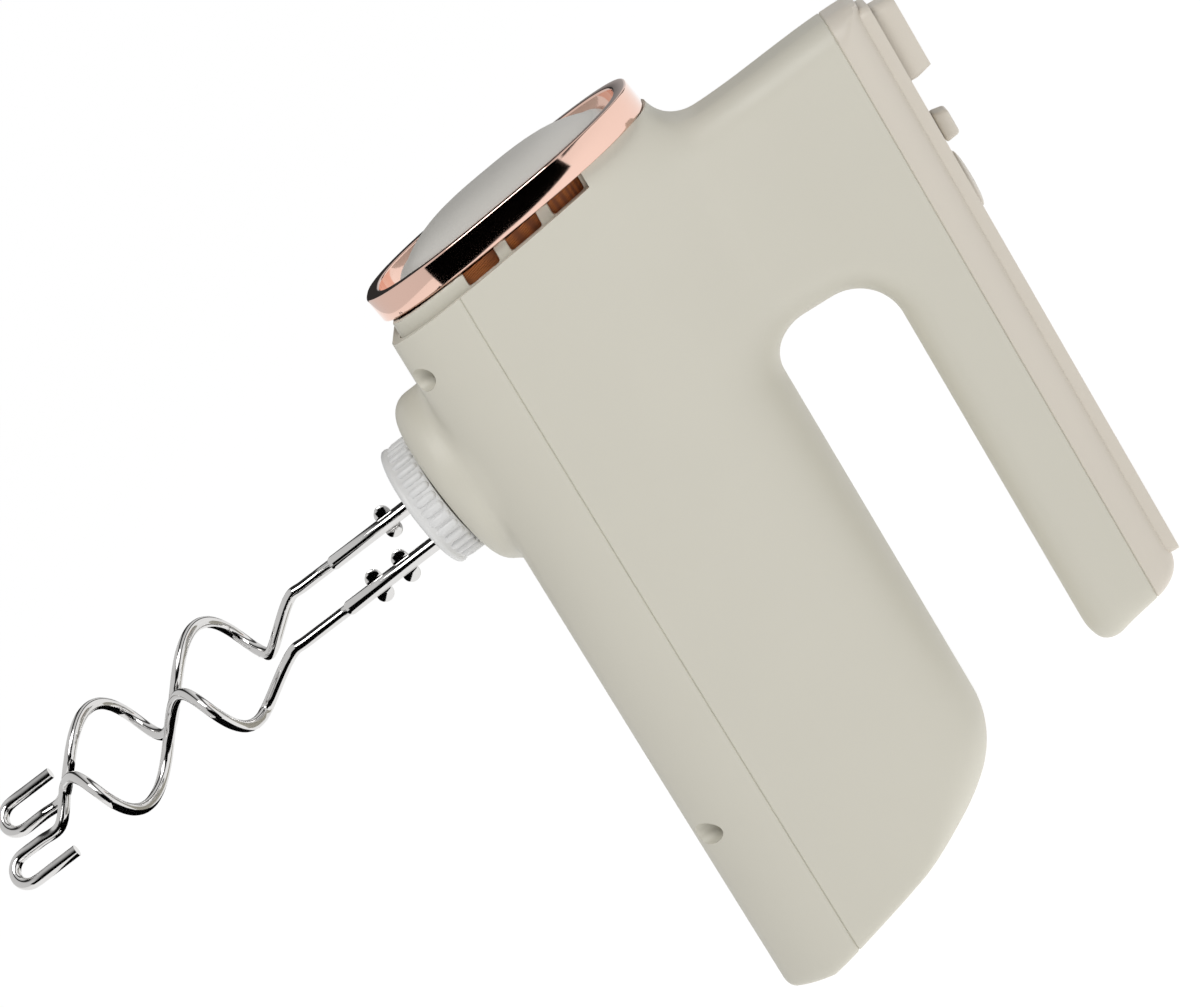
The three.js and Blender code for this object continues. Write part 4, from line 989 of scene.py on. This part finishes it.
def areaLight(name, direction, distance, size, power):
    lamp = bpy.data.lights.new(name, "AREA")
    lamp.shape, lamp.size, lamp.size_y, lamp.energy = "RECTANGLE", size[0], size[1], power
    thing = bpy.data.objects.new(name, lamp)
    bpy.context.scene.collection.objects.link(thing)
    thing.visible_camera = False
    return aimed(thing, direction, distance)


# Black card that only mirrors see.
def card(name, direction, distance, size, aim):
    tone = Finish(f"{name} tone")
    glow = tone.add("ShaderNodeEmission", {}, {"Color": (0, 0, 0, 1), "Strength": 1.0})
    tone.add("ShaderNodeOutputMaterial", {}, {"Surface": glow})
    w, h = size[0] / 2, size[1] / 2
    sheet = makePiece(name, [(-w, -h, 0), (w, -h, 0), (w, h, 0), (-w, h, 0)], [(0, 1, 2, 3)])
    sheet.data.materials.append(tone.material)
    sheet.visible_camera = sheet.visible_diffuse = sheet.visible_shadow = False
    return aimed(sheet, direction, distance, aim)


def makeFloor():
    floorTone = Finish("white floor")
    speck = floorTone.noise(6, 2)
    soft = floorTone.add("ShaderNodeBsdfDiffuse", {}, {
        "Color": floorTone.blend(speck, (0.9, 0.9, 0.9), (0.94, 0.94, 0.94))})
    glow = floorTone.add("ShaderNodeEmission", {}, {"Color": (1, 1, 1, 1), "Strength": studio["floorGlow"]})
    both = floorTone.add("ShaderNodeMixShader", {}, {0: 0.75, 1: soft, 2: glow})
    floorTone.add("ShaderNodeOutputMaterial", {}, {"Surface": both})
    half = 6.0
    floor = makePiece("floor", [(-half, -half, 0), (half, -half, 0), (half, half, 0), (-half, half, 0)],
                      [(0, 1, 2, 3)])
    floor.data.transform(Matrix.Translation((0, 0, cadBox[0].z - 0.0005)))
    floor.data.materials.append(floorTone.material)


# The camera sees plain white, surfaces see an even surround, and mirrors see a tent.
def makeWorld():
    s = studio
    world = bpy.data.worlds.new("studio")
    world.use_nodes = True
    tree = world.node_tree
    tree.nodes.clear()
    seen = addNode(tree, "ShaderNodeLightPath", out="Is Camera Ray")
    direct = addNode(tree, "ShaderNodeBackground", {}, {"Color": (1, 1, 1, 1), "Strength": s["backdrop"]})
    around = addNode(tree, "ShaderNodeBackground", {}, {
        "Color": (1, 0.995, 0.985, 1), "Strength": s["surround"]})
    # the tent is white cloth with dark gaps in it
    upward = (stand.to_3x3() @ Vector((0, 0, 1))).normalized()
    height = addNode(tree, "ShaderNodeVectorMath", {"operation": "DOT_PRODUCT"}, {
        0: addNode(tree, "ShaderNodeTexCoord", out="Generated"), 1: tuple(upward)}, out="Value")
    tent = addNode(tree, "ShaderNodeValToRGB", {"stops": [(at, (level,) * 3) for at, level in s["tent"]]}, {
        "Fac": height * 0.5 + 0.5})
    mirrored = addNode(tree, "ShaderNodeBackground", {}, {"Color": tent, "Strength": 1.0})
    glossy = addNode(tree, "ShaderNodeLightPath", out="Is Glossy Ray")
    both = addNode(tree, "ShaderNodeMixShader", {}, {0: glossy, 1: around, 2: mirrored})
    both = addNode(tree, "ShaderNodeMixShader", {}, {0: seen, 1: both, 2: direct})
    addNode(tree, "ShaderNodeOutputWorld", {}, {"Surface": both})
    bpy.context.scene.world = world
    bpy.context.scene.view_settings.view_transform = "Standard"


def makeLights():
    s = studio
    areaLight("key", (0.1, -0.62, 0.78), 0.9, (0.5, 0.35), s["key"])
    areaLight("top", (0.15, -0.3, 1.0), 0.8, (0.6, 0.4), s["top"])
    areaLight("fill", (-0.8, -0.6, -0.2), 1.1, (0.5, 0.5), s["fill"])
    card("dark_card", (0.2, -0.98, -0.12), 0.7, (0.9, 0.9), (-12, -32, 20))
    card("dark_card_under_hooks", (1.0, -0.2, -0.3), 0.07, (0.3, 0.07), (30, 0, -110))


makeCamera()
makeFloor()
makeWorld()
makeLights()
print("studio made")
